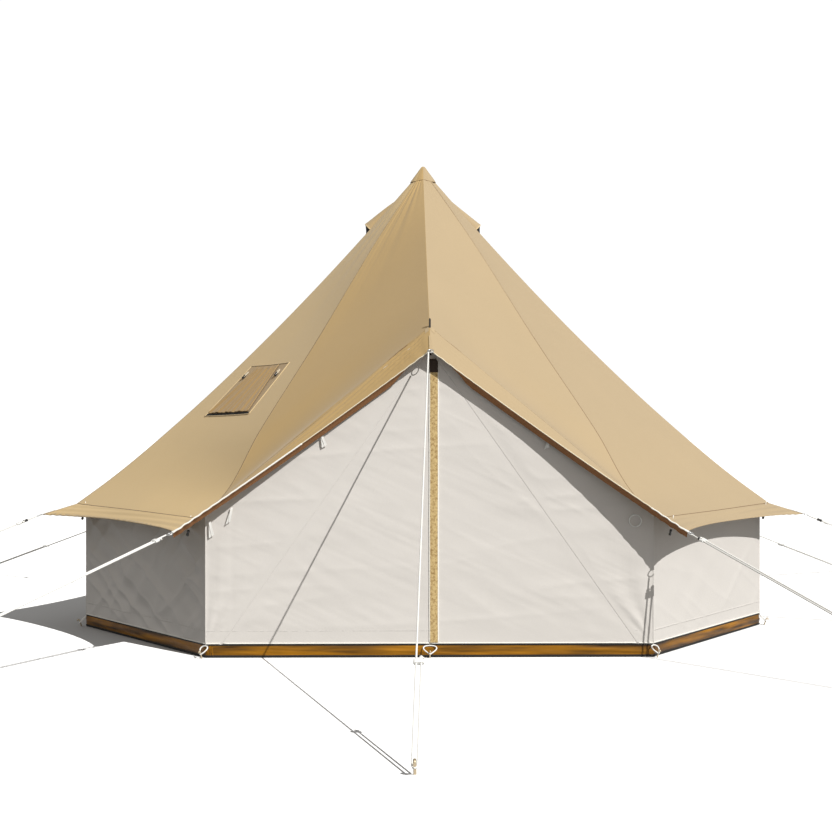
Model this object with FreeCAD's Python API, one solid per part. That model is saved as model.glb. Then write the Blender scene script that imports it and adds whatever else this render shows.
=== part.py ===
import FreeCAD, Part
import math
import os

from FreeCAD import Vector

# A round bell tent on a centre pole, with a framed door, guyed out to pegs.
# Millimetres. +Z is up, z = 0 is the ground, the origin is under the centre pole,
# -Y is the door side and +X is right when facing the door from outside.

# ---- driving dimensions ----
BASE_RADIUS = 2000.0          # centre to a wall corner
DOOR_HALF_ANGLE = 35.3        # azimuth of the corners beside the door, from -Y
SIDE_PANELS = 6               # wall panels besides the door wall
CANVAS = 3.0                  # stand-in thickness of every cloth panel
COLUMNS = 6                   # strips across one roof panel

TUB_HEIGHT = 66.0             # upstand of the groundsheet
HEM_GAP = 2.0                 # wall hem above the groundsheet's edge
WALL_TOP = 900.0              # walls are cut off by the roof below this height

# (radius, height) of the roof's hips, from the crown to the eave's tips
CROWN_RADIUS = 45.0
CROWN_HEIGHT = 2672.0
EAVE_SEAM = (2060.0, 720.0)   # where the wall is sewn under the roof
EAVE_TIP = (2256.0, 660.0)    # corner of the eave, where a guy pulls it out
SIDE_HIP = [(CROWN_RADIUS, CROWN_HEIGHT), (377, 2294), (900, 1738), (1450, 1213), (1872, 858), EAVE_SEAM, EAVE_TIP]
DOOR_HIP = [(CROWN_RADIUS, CROWN_HEIGHT), (450, 2288), (1050, 1666), (1560, 1160), (1880, 815), EAVE_SEAM, EAVE_TIP]
DOOR_PEAK = (1612.0, 1707.0)  # spike of the door frame, through the ridge
DOOR_EAVE = (1717.0, 1585.0)  # peak of the eave over the door
DOOR_RIDGE = [(CROWN_RADIUS, CROWN_HEIGHT), (420, 2420), (860, 2140), (1250, 1905), (1540, 1745), DOOR_PEAK, DOOR_EAVE]
SIDE_EAVE_PULL = 109.0        # how far a side eave curves in between its tips
SIDE_EAVE_RISE = 8.0
DOOR_EAVE_PULL = 60.0
DOOR_EAVE_SAG = -15.0

# Door: two leaves that swing out about the sloping seams beside them
LEAF_PEAK = 1600.0            # height where the two sloping seams would meet
LEAF_FOOT_X = 1130.0
LEAF_BOTTOM = 72.0
LEAF_TOP = 1560.0
SEAM_GAP = 3.0                # half the gap along a seam that turns
STRIP_LEFT = -2.0             # the storm strip laps the zip from the right leaf
STRIP_WIDTH = 44.0
STRIP_TOP = 1540.0
SLIDER_GAP = 1.5              # zip sliders stand this far inside the cloth

# Poles
POLE_RADIUS = 19.0
POLE_WALL = 1.5
POLE_JOINTS = (905.0, 1800.0)  # heights where the centre pole's sections meet
SPIGOT_LENGTH = 60.0
POLE_FOOT_TOP = 45.0
CROWN_PLATE_RADIUS = 60.0
CROWN_PLATE_HEIGHT = 2635.0
FRAME_TUBE_RADIUS = 12.5
FRAME_FOOT_X = 560.0
FRAME_FOOT_Y = -1600.0
FRAME_FOOT_HEIGHT = 30.0
SPIKE_RADIUS = 5.0
SPIKE_TOP = 1753.0

# Roof fittings
CAP_RADIUS = 76.0
CAP_BOTTOM = 2656.0
CAP_TOP = 2738.0
CAP_THICKNESS = 3.0
HOOD_START = 118.0            # down the slope from the crown
HOOD_LENGTH = 307.0
HOOD_HALF_WIDTH = 100.0
HOOD_HALF_LIP = 40.0
HOOD_RISE = 75.0
HOOD_THICKNESS = 4.0
VENT_HALF_WIDTH = 50.0
STOVE_MIDDLE = 0.515          # across the left panel, as a share of its width
STOVE_SKEW = 0.18             # the patch lies a little askew on the panel
VENT_START = 240.0            # opening in the roof under a hood
VENT_END = 400.0

# Guys
ROPE_RADIUS = 4.0
STRAND_OFFSET = 10.0          # each strand from the middle of a doubled guy
RING_RADIUS = 15.0
RING_WIRE = 2.5
RUNNER_CLEARANCE = 0.05
RUNNER_LENGTH = 24.0
RUNNER_WIDTH = 42.0
RUNNER_DEPTH = 14.0
PEG_RADIUS = 6.0
PEG_TIP = -235.0              # height of every guy peg's tip, driven into the ground
PEG_LOOP_HEIGHT = 30.0
PEG_HEAD = 24.0
BASE_PEG_RADIUS = 3.5
BASE_PEG_TIP = -160.0

SIDE_STEP = (180.0 - DOOR_HALF_ANGLE) / (SIDE_PANELS / 2)
CORNER_AZIMUTHS = [-DOOR_HALF_ANGLE - SIDE_STEP * i for i in range(3)] + [180.0]
CORNER_AZIMUTHS += [DOOR_HALF_ANGLE + SIDE_STEP * i for i in (2, 1, 0)]
SIDE_NAMES = ["left", "rear_left", "back_left", "back_right", "rear_right", "right"]
DOOR_Y = -BASE_RADIUS * math.cos(math.radians(DOOR_HALF_ANGLE))
DOOR_CORNER_X = BASE_RADIUS * math.sin(math.radians(DOOR_HALF_ANGLE))

# name: (azimuth of the eave's tip, azimuth of the peg, radius of the peg, runner's place along the guy)
GUYS = {
    "front": (0.0, -1.59, 4734.0, 0.80),
    "front_left": (CORNER_AZIMUTHS[0], CORNER_AZIMUTHS[0] - 4.0, 4200.0, 0.03),
    "left": (CORNER_AZIMUTHS[1], CORNER_AZIMUTHS[1] + 5.0, 3900.0, 0.05),
    "rear_left": (CORNER_AZIMUTHS[2], CORNER_AZIMUTHS[2] - 3.0, 4700.0, 0.62),
    "back": (180.0, 180.0, 4200.0, 0.05),
    "rear_right": (CORNER_AZIMUTHS[4], CORNER_AZIMUTHS[4] + 3.0, 4700.0, 0.62),
    "right": (CORNER_AZIMUTHS[5], CORNER_AZIMUTHS[5] - 5.0, 3900.0, 0.05),
    "front_right": (CORNER_AZIMUTHS[6], CORNER_AZIMUTHS[6] - 1.3, 4200.0, 0.03),
}

nodes = {}


# ---- helpers ----
def polar(azimuth, radius, height):
    """A point from its azimuth (0 is the door side, positive to the right), radius and height."""
    a = math.radians(azimuth)
    return Vector(radius * math.sin(a), -radius * math.cos(a), height)


def between(a, b, t):
    return a + (b - a) * t


def closed_solid(faces):
    """A solid from planar faces, each a list of corner points."""
    made = [Part.Face(Part.makePolygon(points + [points[0]])) for points in faces]
    shell = Part.makeShell(made)
    shell.sewShape()
    solid = Part.makeSolid(shell)
    if solid.Volume < 0:
        solid.reverse()
    return solid.removeSplitter()


def sheet(rows, offset):
    """A solid skin: a grid of points, and the same grid moved by offset."""
    faces = []
    for upper, lower in zip(rows, rows[1:]):
        for i in range(len(upper) - 1):
            a, b, c, d = upper[i], upper[i + 1], lower[i + 1], lower[i]
            for triangle in ([a, b, c], [a, c, d]):
                faces.append(triangle)
                faces.append([p + offset for p in triangle])
    rim = list(rows[0]) + [r[-1] for r in rows[1:]] + list(reversed(rows[-1]))[1:]
    rim += [r[0] for r in reversed(rows[1:-1])]
    for a, b in zip(rim, rim[1:] + rim[:1]):
        faces.append([a, b, b + offset, a + offset])
    return closed_solid(faces)


def plate(outline, thickness):
    """A flat plate: a planar outline pushed along a vector."""
    return Part.Face(Part.makePolygon(outline + [outline[0]])).extrude(thickness)


def rod(start, end, radius):
    return Part.makeCylinder(radius, (end - start).Length, start, end - start)


def tube(start, end, radius, wall):
    return rod(start, end, radius).cut(rod(start, end, radius - wall))


def swept(edges, radius, start, direction):
    """A round rod swept along a wire of lines and tangent arcs."""
    section = Part.Wire(Part.makeCircle(radius, start, direction))
    return Part.Wire(edges).makePipeShell([section], True, True)


def link(centre, along, across, half_length, half_width, radius):
    """A closed oval link of round section."""
    a = centre + along * half_length
    b = centre - along * half_length
    side = across * half_width
    edges = [
        Part.LineSegment(b + side, a + side).toShape(),
        Part.Arc(a + side, a + along * half_width, a - side).toShape(),
        Part.LineSegment(a - side, b - side).toShape(),
        Part.Arc(b - side, b - along * half_width, b + side).toShape(),
    ]
    return swept(edges, radius, b + side, along)


def group(solids):
    return Part.makeCompound(solids)


# ---- roof ----
def hip(index):
    """Profile of the hip over a corner; the two beside the door are stretched straighter."""
    profile = DOOR_HIP if index in (0, 6) else SIDE_HIP
    return [polar(CORNER_AZIMUTHS[index], r, z) for r, z in profile]


def ridge():
    return [polar(0.0, r, z) for r, z in DOOR_RIDGE]


def roof_rows(first, second, pull, rise):
    """Grid of one roof panel between two hips; its last row is the curved eave."""
    rows = []
    for a, b in zip(first, second):
        rows.append([between(a, b, i / COLUMNS) for i in range(COLUMNS + 1)])
    a, b = first[-1], second[-1]
    inward = Vector(a.y - b.y, b.x - a.x, 0).normalize()
    if inward.dot(a + b) > 0:
        inward = -inward
    for i in range(1, COLUMNS):
        t = i / COLUMNS
        bow = 4 * t * (1 - t)
        rows[-1][i] = rows[-1][i] + inward * (pull * bow) + Vector(0, 0, rise * bow)
    return rows


def panel_grids():
    grids = {"front_left": roof_rows(ridge(), hip(0), DOOR_EAVE_PULL, DOOR_EAVE_SAG)}
    for i, name in enumerate(SIDE_NAMES):
        grids[name] = roof_rows(hip(i), hip(i + 1), SIDE_EAVE_PULL, SIDE_EAVE_RISE)
    grids["front_right"] = roof_rows(hip(6), ridge(), DOOR_EAVE_PULL, DOOR_EAVE_SAG)
    return grids


GRIDS = panel_grids()


def above(name):
    """Everything over a roof panel's inner surface, to trim what hangs under it."""
    drop = Vector(0, 0, -CANVAS)
    return sheet([[p + drop for p in row] for row in GRIDS[name]], Vector(0, 0, 1200))


def slope_frame(azimuth):
    """Crown point, and unit vectors across, down and out of a side panel's middle line."""
    half = math.cos(math.radians(SIDE_STEP / 2))
    top = polar(azimuth, SIDE_HIP[0][0] * half, SIDE_HIP[0][1])
    low = polar(azimuth, SIDE_HIP[1][0] * half, SIDE_HIP[1][1])
    down = (low - top).normalize()
    across = polar(azimuth + 90.0, 1.0, 0.0)
    out = across.cross(down).normalize()
    if out.z < 0:
        out = -out
    return top, across, down, out


def hood_body(azimuth, inset):
    """The wedge of a vent hood, or the hollow inside it when inset is more than nothing."""
    top, across, down, out = slope_frame(azimuth)

    def at(u, s, n):
        return top + across * u + down * s + out * n

    low = 0.3 if inset == 0 else -1.0
    start = HOOD_START + 3 * inset
    lip = HOOD_START + HOOD_LENGTH + (1.0 if inset else 0.0)
    base = HOOD_HALF_WIDTH - inset
    peak_half = HOOD_HALF_LIP - inset * 0.5
    peak = HOOD_RISE - inset
    t = at(0, start, low)
    bl, br = at(-base, lip, low), at(base, lip, low)
    al, ar = at(-peak_half, lip, peak), at(peak_half, lip, peak)
    return closed_solid([[t, bl, al], [t, al, ar], [t, ar, br], [t, br, bl], [bl, br, ar, al]])


def slope_box(azimuth, half_width, s0, s1, n0, n1):
    top, across, down, out = slope_frame(azimuth)
    corner = top - across * half_width + down * s0 + out * n0
    outline = [corner, corner + across * (2 * half_width)]
    outline += [outline[1] + down * (s1 - s0), corner + down * (s1 - s0)]
    return plate(outline, out * (n1 - n0))


def make_roof():
    spike_hole = Part.makeCylinder(SPIKE_RADIUS + 2.0, 200, Vector(0, -DOOR_PEAK[0], 1600))
    for name, grid in GRIDS.items():
        skin = sheet(grid, Vector(0, 0, -CANVAS))
        if name in ("front_left", "front_right"):
            skin = skin.cut(spike_hole)
        if name in ("rear_left", "rear_right"):
            azimuth = vent_azimuth(name)
            skin = skin.cut(slope_box(azimuth, VENT_HALF_WIDTH, VENT_START, VENT_END, -30, 20))
        nodes["roof_panel_" + name] = skin


def vent_azimuth(name):
    side = -1 if name == "rear_left" else 1
    return side * (DOOR_HALF_ANGLE + SIDE_STEP * 1.5)


def make_vents():
    meshes = []
    for side in ("left", "right"):
        azimuth = vent_azimuth("rear_" + side)
        hollow = hood_body(azimuth, HOOD_THICKNESS)
        nodes["vent_hood_" + side] = hood_body(azimuth, 0).cut(hollow)
        lip = HOOD_START + HOOD_LENGTH
        slab = slope_box(azimuth, HOOD_HALF_WIDTH, lip - 12, lip - 10, 0.3, HOOD_RISE)
        meshes.append(slab.common(hollow))
    nodes["vent_meshes"] = group(meshes)


def make_cap():
    outer = [(0, CAP_TOP), (14, CAP_TOP - 5), (34, CAP_TOP - 34), (CAP_RADIUS, CAP_BOTTOM)]
    inner = [(CAP_RADIUS - CAP_THICKNESS, CAP_BOTTOM), (32, CAP_TOP - 38), (0, CAP_TOP - 9)]
    outline = [Vector(r, 0, z) for r, z in outer + inner]
    face = Part.Face(Part.makePolygon(outline + [outline[0]]))
    nodes["apex_cap"] = face.revolve(Vector(0, 0, 0), Vector(0, 0, 1), 360)


def make_stove_jack():
    """A heatproof patch on the left roof panel, and the flap that hangs over it."""
    upper, lower = GRIDS["left"][2], GRIDS["left"][3]

    def at(across, down, lift):
        down = down + STOVE_SKEW * (across - STOVE_MIDDLE)
        top = between(upper[0], upper[-1], across)
        low = between(lower[0], lower[-1], across)
        chord = upper[-1] - upper[0]
        out = chord.cross(lower[0] - upper[0]).normalize()
        if out.z < 0:
            out = -out
        return between(top, low, down) + out * lift

    def panel(top_half, low_half, s0, s1, lift, thickness):
        rows = []
        for k in range(4):
            s = s0 + (s1 - s0) * k / 3
            half = top_half + (low_half - top_half) * k / 3
            rows.append([at(STOVE_MIDDLE + half * (2 * i / 4 - 1), s, lift) for i in range(5)])
        out = at(0.5, 0.5, 1) - at(0.5, 0.5, 0)
        return sheet(rows, out * thickness)

    nodes["stove_jack_patch"] = panel(0.28, 0.25, 0.31, 0.88, 2.2, 1.5)
    nodes["stove_jack_flap"] = panel(0.15, 0.225, 0.33, 0.85, 5.0, 2.0)
    hinge = [at(STOVE_MIDDLE - 0.15, 0.33, 6.0), at(STOVE_MIDDLE + 0.15, 0.33, 6.0)]
    print("stove flap hinge", [tuple(round(v, 1) for v in p) for p in hinge])
    toggles = []
    for place in (-0.225, 0.225):
        middle = at(STOVE_MIDDLE + place, 0.44, 9.5)
        down = (at(0.5, 0.6, 0) - at(0.5, 0.4, 0)).normalize()
        toggles.append(rod(middle - down * 14, middle + down * 14, 5.0))
    return toggles


# ---- walls and groundsheet ----
def wall_panel(first, second, low, high, radius):
    """A flat vertical panel between two corners, mitred where panels meet."""
    half = math.radians(abs(second - first) % 360) / 2
    if half > math.pi / 2:
        half = math.pi - half
    ring = []
    for r in (radius, radius - CANVAS / math.cos(math.radians(SIDE_STEP / 2))):
        ring.append([polar(first, r, low), polar(second, r, low), polar(second, r, high), polar(first, r, high)])
    outer, inner = ring
    faces = [outer, inner]
    for i in range(4):
        j = (i + 1) % 4
        faces.append([outer[i], outer[j], inner[j], inner[i]])
    return closed_solid(faces)


def make_walls():
    for i, name in enumerate(SIDE_NAMES):
        panel = wall_panel(CORNER_AZIMUTHS[i], CORNER_AZIMUTHS[i + 1], TUB_HEIGHT + HEM_GAP, WALL_TOP, BASE_RADIUS)
        nodes["wall_" + name] = panel.cut(above(name))


def front_plate(points, y=None, thickness=CANVAS):
    """A plate in the door wall's plane, from (x, z) points."""
    y = DOOR_Y if y is None else y
    return plate([Vector(x, y, z) for x, z in points], Vector(0, thickness, 0))


def leaf_seam_x(z, away):
    """x of the sloping seam at a height, moved away from the door's middle."""
    slope = LEAF_FOOT_X / LEAF_PEAK
    return (LEAF_PEAK - z) * slope + away * math.sqrt(1 + slope * slope)


def mirrored(points, side):
    return [(side * x, z) for x, z in points]


def make_front():
    low = TUB_HEIGHT + HEM_GAP
    for side, name in ((-1, "left"), (1, "right")):
        fixed = [(leaf_seam_x(low, SEAM_GAP), low), (DOOR_CORNER_X - 4.0, low), (DOOR_CORNER_X - 4.0, 900)]
        fixed += [(0, 1800), (0, LEAF_PEAK), (leaf_seam_x(LEAF_PEAK, SEAM_GAP), LEAF_PEAK)]
        panel = front_plate(mirrored(fixed, side))
        nodes["front_wall_" + name] = panel.cut(above("front_" + name))
        leaf = [(SEAM_GAP, LEAF_BOTTOM), (leaf_seam_x(LEAF_BOTTOM, -SEAM_GAP), LEAF_BOTTOM)]
        leaf += [(leaf_seam_x(LEAF_TOP, -SEAM_GAP), LEAF_TOP), (SEAM_GAP, LEAF_TOP)]
        nodes[name + "_door_leaf"] = front_plate(mirrored(leaf, side))
    strip = [(STRIP_LEFT, LEAF_BOTTOM + 4), (STRIP_LEFT + STRIP_WIDTH, LEAF_BOTTOM + 4)]
    strip += [(STRIP_LEFT + STRIP_WIDTH, STRIP_TOP), (STRIP_LEFT, STRIP_TOP)]
    nodes["storm_strip"] = front_plate(strip, DOOR_Y - 2.0, 2.0)


def slider(x, z, along_x):
    """A zip slider on the inside of the cloth: a small body with a flat hanging pull."""
    y = DOOR_Y + CANVAS + SLIDER_GAP
    size = (22, 8) if along_x else (8, 22)
    body = Part.makeBox(size[0], 6, size[1], Vector(x, y, z))
    tag_x = x + (size[0] - 8) / 2
    tag = Part.makeBox(8, 2, 30, Vector(tag_x, y + 6, z + size[1] - 32))
    return body.fuse(tag).removeSplitter()


def make_sliders():
    nodes["door_zip_slider"] = slider(-2.5, 118, False)
    nodes["left_hem_zip_slider"] = slider(-62, 98, True)
    nodes["right_hem_zip_slider"] = slider(56, 98, True)


def make_groundsheet():
    inset = BASE_RADIUS - CANVAS / math.cos(math.radians(SIDE_STEP / 2))
    floor = [polar(a, inset, 0) for a in CORNER_AZIMUTHS]
    nodes["groundsheet"] = plate(floor, Vector(0, 0, 2.0))
    sides = []
    for i in range(len(CORNER_AZIMUTHS)):
        j = (i + 1) % len(CORNER_AZIMUTHS)
        sides.append(wall_panel(CORNER_AZIMUTHS[i], CORNER_AZIMUTHS[j], 0, TUB_HEIGHT, BASE_RADIUS))
    nodes["tub_sides"] = group(sides)


# ---- poles ----
def make_centre_pole():
    starts = [8.0, POLE_JOINTS[0], POLE_JOINTS[1]]
    ends = [POLE_JOINTS[0], POLE_JOINTS[1], CROWN_PLATE_HEIGHT - 30]
    for i, name in enumerate(("lower", "middle", "upper")):
        a, b = Vector(0, 0, starts[i]), Vector(0, 0, ends[i])
        section = tube(a, b, POLE_RADIUS, POLE_WALL)
        if i < 2:
            neck = POLE_RADIUS - POLE_WALL - 0.2
            spigot = tube(b - Vector(0, 0, 10), b + Vector(0, 0, SPIGOT_LENGTH), neck, POLE_WALL)
            collar = tube(b - Vector(0, 0, 10), b, POLE_RADIUS, POLE_WALL + 1.0)
            section = section.fuse([spigot, collar])
        nodes["centre_pole_" + name] = section
    cup = Part.makeCylinder(POLE_RADIUS + 6, POLE_FOOT_TOP - 2, Vector(0, 0, 2))
    cup = cup.cut(Part.makeCylinder(POLE_RADIUS, POLE_FOOT_TOP, Vector(0, 0, 8)))
    nodes["centre_pole_foot"] = cup
    bore = Part.makeCylinder(POLE_RADIUS, 60, Vector(0, 0, CROWN_PLATE_HEIGHT - 90))
    socket = Part.makeCylinder(POLE_RADIUS + 3, 60, Vector(0, 0, CROWN_PLATE_HEIGHT - 60))
    disc = Part.makeCylinder(CROWN_PLATE_RADIUS, 8, Vector(0, 0, CROWN_PLATE_HEIGHT))
    nodes["crown_plate"] = socket.cut(bore).fuse(disc).removeSplitter()


def make_door_frame():
    """An A-frame inside the door: two legs, a peak fitting with a spike, and feet."""
    peak = Vector(0, -DOOR_PEAK[0], DOOR_PEAK[1] - 62)
    feet = []
    for side, name in ((-1, "left"), (1, "right")):
        foot = Vector(side * FRAME_FOOT_X, FRAME_FOOT_Y, FRAME_FOOT_HEIGHT)
        down = (foot - peak).normalize()
        start = peak + down * 70
        nodes["door_frame_leg_" + name] = tube(start, foot, FRAME_TUBE_RADIUS, POLE_WALL)
        cup = Part.makeCone(FRAME_TUBE_RADIUS + 9, FRAME_TUBE_RADIUS + 5, FRAME_FOOT_HEIGHT + 16)
        cup.translate(Vector(foot.x, foot.y, 2.0))
        feet.append(cup.cut(rod(foot, foot - down * 120, FRAME_TUBE_RADIUS)))
        arm = rod(peak, start, FRAME_TUBE_RADIUS)
        pin = rod(peak, start + down * 40, FRAME_TUBE_RADIUS - POLE_WALL - 0.2)
        if side < 0:
            fitting = arm.fuse(pin)
        else:
            fitting = fitting.fuse([arm, pin])
    ball = Part.makeSphere(FRAME_TUBE_RADIUS, peak)
    neck = rod(peak, Vector(0, peak.y, DOOR_PEAK[1] - 30), 9.0)
    spike = rod(peak, Vector(0, peak.y, SPIKE_TOP - 6), SPIKE_RADIUS)
    tip = Part.makeCone(SPIKE_RADIUS, 2.0, 6, Vector(0, peak.y, SPIKE_TOP - 6))
    nodes["door_frame_peak"] = fitting.fuse([ball, neck, spike, tip]).removeSplitter()
    nodes["door_frame_feet"] = group(feet)


# ---- guys, runners and pegs ----
def guy_line(name):
    """Ring centre, peg point, unit vectors along and across a guy, and its length."""
    tip_azimuth, peg_azimuth, peg_radius, runner_place = GUYS[name]
    r, z = DOOR_EAVE if name == "front" else EAVE_TIP
    ring = polar(tip_azimuth, r + RING_RADIUS + 5.0, z - 6.0)
    peg = polar(peg_azimuth, peg_radius, PEG_LOOP_HEIGHT)
    along = (peg - ring).normalize()
    across = along.cross(Vector(0, 0, 1)).normalize()
    return ring, peg, along, across, (peg - ring).Length


def make_guy(name):
    """A guy: one strand down from its ring, round the peg, and a strand back up to the runner."""
    ring, peg, along, across, length = guy_line(name)
    place = GUYS[name][3]
    side = across * STRAND_OFFSET
    start = ring + along * (RING_RADIUS + RING_WIRE + 1.0) + side
    turn_in = peg + side
    turn = peg + along * STRAND_OFFSET
    turn_out = peg - side
    runner = ring + along * (length * place + RING_RADIUS + RUNNER_LENGTH)
    end = runner - along * (RUNNER_LENGTH / 2 + 14) - side
    edges = [
        Part.LineSegment(start, turn_in).toShape(),
        Part.Arc(turn_in, turn, turn_out).toShape(),
        Part.LineSegment(turn_out, end).toShape(),
    ]
    path_length = sum(e.Length for e in edges)
    rope = swept(edges, ROPE_RADIUS, start, along)
    section = math.pi * ROPE_RADIUS ** 2
    print(name, "guy", round(path_length), "mm, turn radius", STRAND_OFFSET, "mm, volume ratio",
          round(rope.Volume / (section * path_length), 4))
    print("   start", tuple(round(v, 1) for v in start), "turn", tuple(round(v, 1) for v in turn),
          "end", tuple(round(v, 1) for v in end), "along", tuple(round(v, 4) for v in along))
    nodes["guy_rope_" + name] = rope
    nodes["guy_runner_" + name] = make_runner(runner, along, across)


def make_runner(centre, along, across):
    """A flat slider with a hole for each strand, rounded at its ends."""
    up = across.cross(along).normalize()
    half = RUNNER_WIDTH / 2 - RUNNER_DEPTH / 2
    back = centre - along * (RUNNER_LENGTH / 2)
    corners = [back - across * half - up * (RUNNER_DEPTH / 2), back + across * half - up * (RUNNER_DEPTH / 2)]
    corners += [back + across * half + up * (RUNNER_DEPTH / 2), back - across * half + up * (RUNNER_DEPTH / 2)]
    body = plate(corners, along * RUNNER_LENGTH)
    for side in (-1, 1):
        end = back + across * (half * side)
        body = body.fuse(Part.makeCylinder(RUNNER_DEPTH / 2, RUNNER_LENGTH, end, along))
    for side in (-1, 1):
        hole = back + across * (STRAND_OFFSET * side) - along
        body = body.cut(Part.makeCylinder(ROPE_RADIUS + RUNNER_CLEARANCE, RUNNER_LENGTH + 2, hole, along))
    return body.removeSplitter()


def hooked_peg(point, lean, radius, tip_height, head, back):
    """A steel pin through a point, leaning along lean, with its top bent over."""
    depth = (point.z - tip_height) / lean.z - radius * 4
    top = point + lean * head
    bend = radius * 1.6
    over = top + back * (2 * bend)
    edges = [
        Part.LineSegment(point - lean * depth, top).toShape(),
        Part.Arc(top, top + back * bend + lean * bend, over).toShape(),
        Part.LineSegment(over, over - lean * (bend * 0.8)).toShape(),
    ]
    shaft = swept(edges, radius, point - lean * depth, lean)
    tip_end = point - lean * (depth + radius * 4)
    tip = Part.makeCone(0.6, radius, radius * 4, tip_end, lean)
    return shaft.fuse(tip)


def make_guys():
    rings = []
    pegs = []
    for name in GUYS:
        make_guy(name)
        ring, peg, along, across, length = guy_line(name)
        rings.append(Part.makeTorus(RING_RADIUS, RING_WIRE, ring, along.cross(across)))
        lean = along.cross(across)
        if lean.z < 0:
            lean = -lean
        pegs.append(hooked_peg(peg, lean, PEG_RADIUS - 0.2, PEG_TIP, PEG_HEAD, along))
    nodes["guy_rings"] = group(rings)
    nodes["guy_pegs"] = group(pegs)


def make_base_pegs():
    """Webbing loops on the groundsheet's edge at each corner and at the door, with pegs."""
    loops = []
    pegs = []
    middle = BASE_RADIUS * math.cos(math.radians(DOOR_HALF_ANGLE))
    places = [(a, BASE_RADIUS) for a in CORNER_AZIMUTHS] + [(0.0, middle)]
    for azimuth, radius in places:
        outward = polar(azimuth, 1.0, 0.0)
        sideways = polar(azimuth + 90.0, 1.0, 0.0)
        along = (outward * 0.62 + Vector(0, 0, -0.785)).normalize()
        centre = outward * (radius + 27) + Vector(0, 0, 36)
        loops.append(link(centre, along, sideways, 18, 10, 2.5))
        hold = centre + along * 20
        lean = (outward * 0.35 + Vector(0, 0, 1)).normalize()
        pegs.append(hooked_peg(hold, lean, BASE_PEG_RADIUS, BASE_PEG_TIP, 14, outward))
    nodes["base_loops"] = group(loops)
    nodes["base_pegs"] = group(pegs)


def make_ties(toggles):
    """Loops that hold a rolled-up wall or door, hanging under the eaves, and toggles."""
    pieces = list(toggles)
    down = Vector(0, 0, -1)
    for side in (-1, 1):
        for x, z in ((578, 1105), (1058, 700)):
            pieces.append(link(Vector(side * x, DOOR_Y - 8, z), down, Vector(1, 0, 0), 20, 9, 2.0))
        for azimuth, r, z in ((DOOR_HALF_ANGLE + 3.0, 2010, 640), (DOOR_HALF_ANGLE + SIDE_STEP - 2.5, 2012, 648)):
            centre = polar(side * azimuth, r, z)
            pieces.append(rod(centre + Vector(0, 0, 16), centre - Vector(0, 0, 16), 5.0))
    nodes["ties_and_toggles"] = group(pieces)


make_roof()
make_vents()
make_cap()
flap_toggles = make_stove_jack()
make_walls()
make_front()
make_sliders()
make_groundsheet()
make_centre_pole()
make_door_frame()
make_guys()
make_base_pegs()
make_ties(flap_toggles)

os.makedirs("parts", exist_ok=True)
for name, shape in nodes.items():
    if not shape.isValid():
        print("not valid:", name)
    if shape.Volume <= 0:
        print("no volume:", name)
    shape.exportStep("parts/" + name + ".step")
print(len(nodes), "nodes")
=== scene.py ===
import math

import bpy
import numpy as np
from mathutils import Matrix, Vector


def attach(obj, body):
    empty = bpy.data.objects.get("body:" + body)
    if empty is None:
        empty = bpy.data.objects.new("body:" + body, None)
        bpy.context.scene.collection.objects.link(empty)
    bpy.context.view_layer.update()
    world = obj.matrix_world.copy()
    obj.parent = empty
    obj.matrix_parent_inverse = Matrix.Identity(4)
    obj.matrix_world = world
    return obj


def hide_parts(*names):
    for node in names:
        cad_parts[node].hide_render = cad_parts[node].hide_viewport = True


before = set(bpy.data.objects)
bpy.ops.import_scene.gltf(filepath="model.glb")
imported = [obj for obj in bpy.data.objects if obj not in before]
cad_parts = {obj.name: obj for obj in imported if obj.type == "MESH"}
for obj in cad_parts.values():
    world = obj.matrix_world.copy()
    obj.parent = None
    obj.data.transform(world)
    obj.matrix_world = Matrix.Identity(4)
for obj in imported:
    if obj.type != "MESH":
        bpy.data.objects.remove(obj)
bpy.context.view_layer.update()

# The driving dimensions of the tent, in metres, as in the CAD.
RADIUS = 2.0
DOOR_HALF_ANGLE = 35.3
SIDE_STEP = (180.0 - DOOR_HALF_ANGLE) / 3
DOOR_Y = -RADIUS * math.cos(math.radians(DOOR_HALF_ANGLE))
DOOR_X = RADIUS * math.sin(math.radians(DOOR_HALF_ANGLE))
# Radius and height of points down a hip or the ridge.
SIDE_HIP = [(0.045, 2.672), (0.377, 2.294), (0.900, 1.738), (1.450, 1.213), (1.872, 0.858),
            (2.060, 0.720), (2.256, 0.660)]
DOOR_HIP = [(0.045, 2.672), (0.450, 2.288), (1.050, 1.666), (1.560, 1.160), (1.880, 0.815),
            (2.060, 0.720), (2.256, 0.660)]
RIDGE = [(0.045, 2.672), (0.420, 2.420), (0.860, 2.140), (1.250, 1.905), (1.540, 1.745),
         (1.612, 1.707), (1.717, 1.585)]
HIP_AT = [0.0, 0.503, 1.266, 2.026, 2.577, 2.810, 3.015]   # distance of these points down the cloth
SEAM_AT, EAVE_AT = HIP_AT[5], HIP_AT[6]
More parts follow.
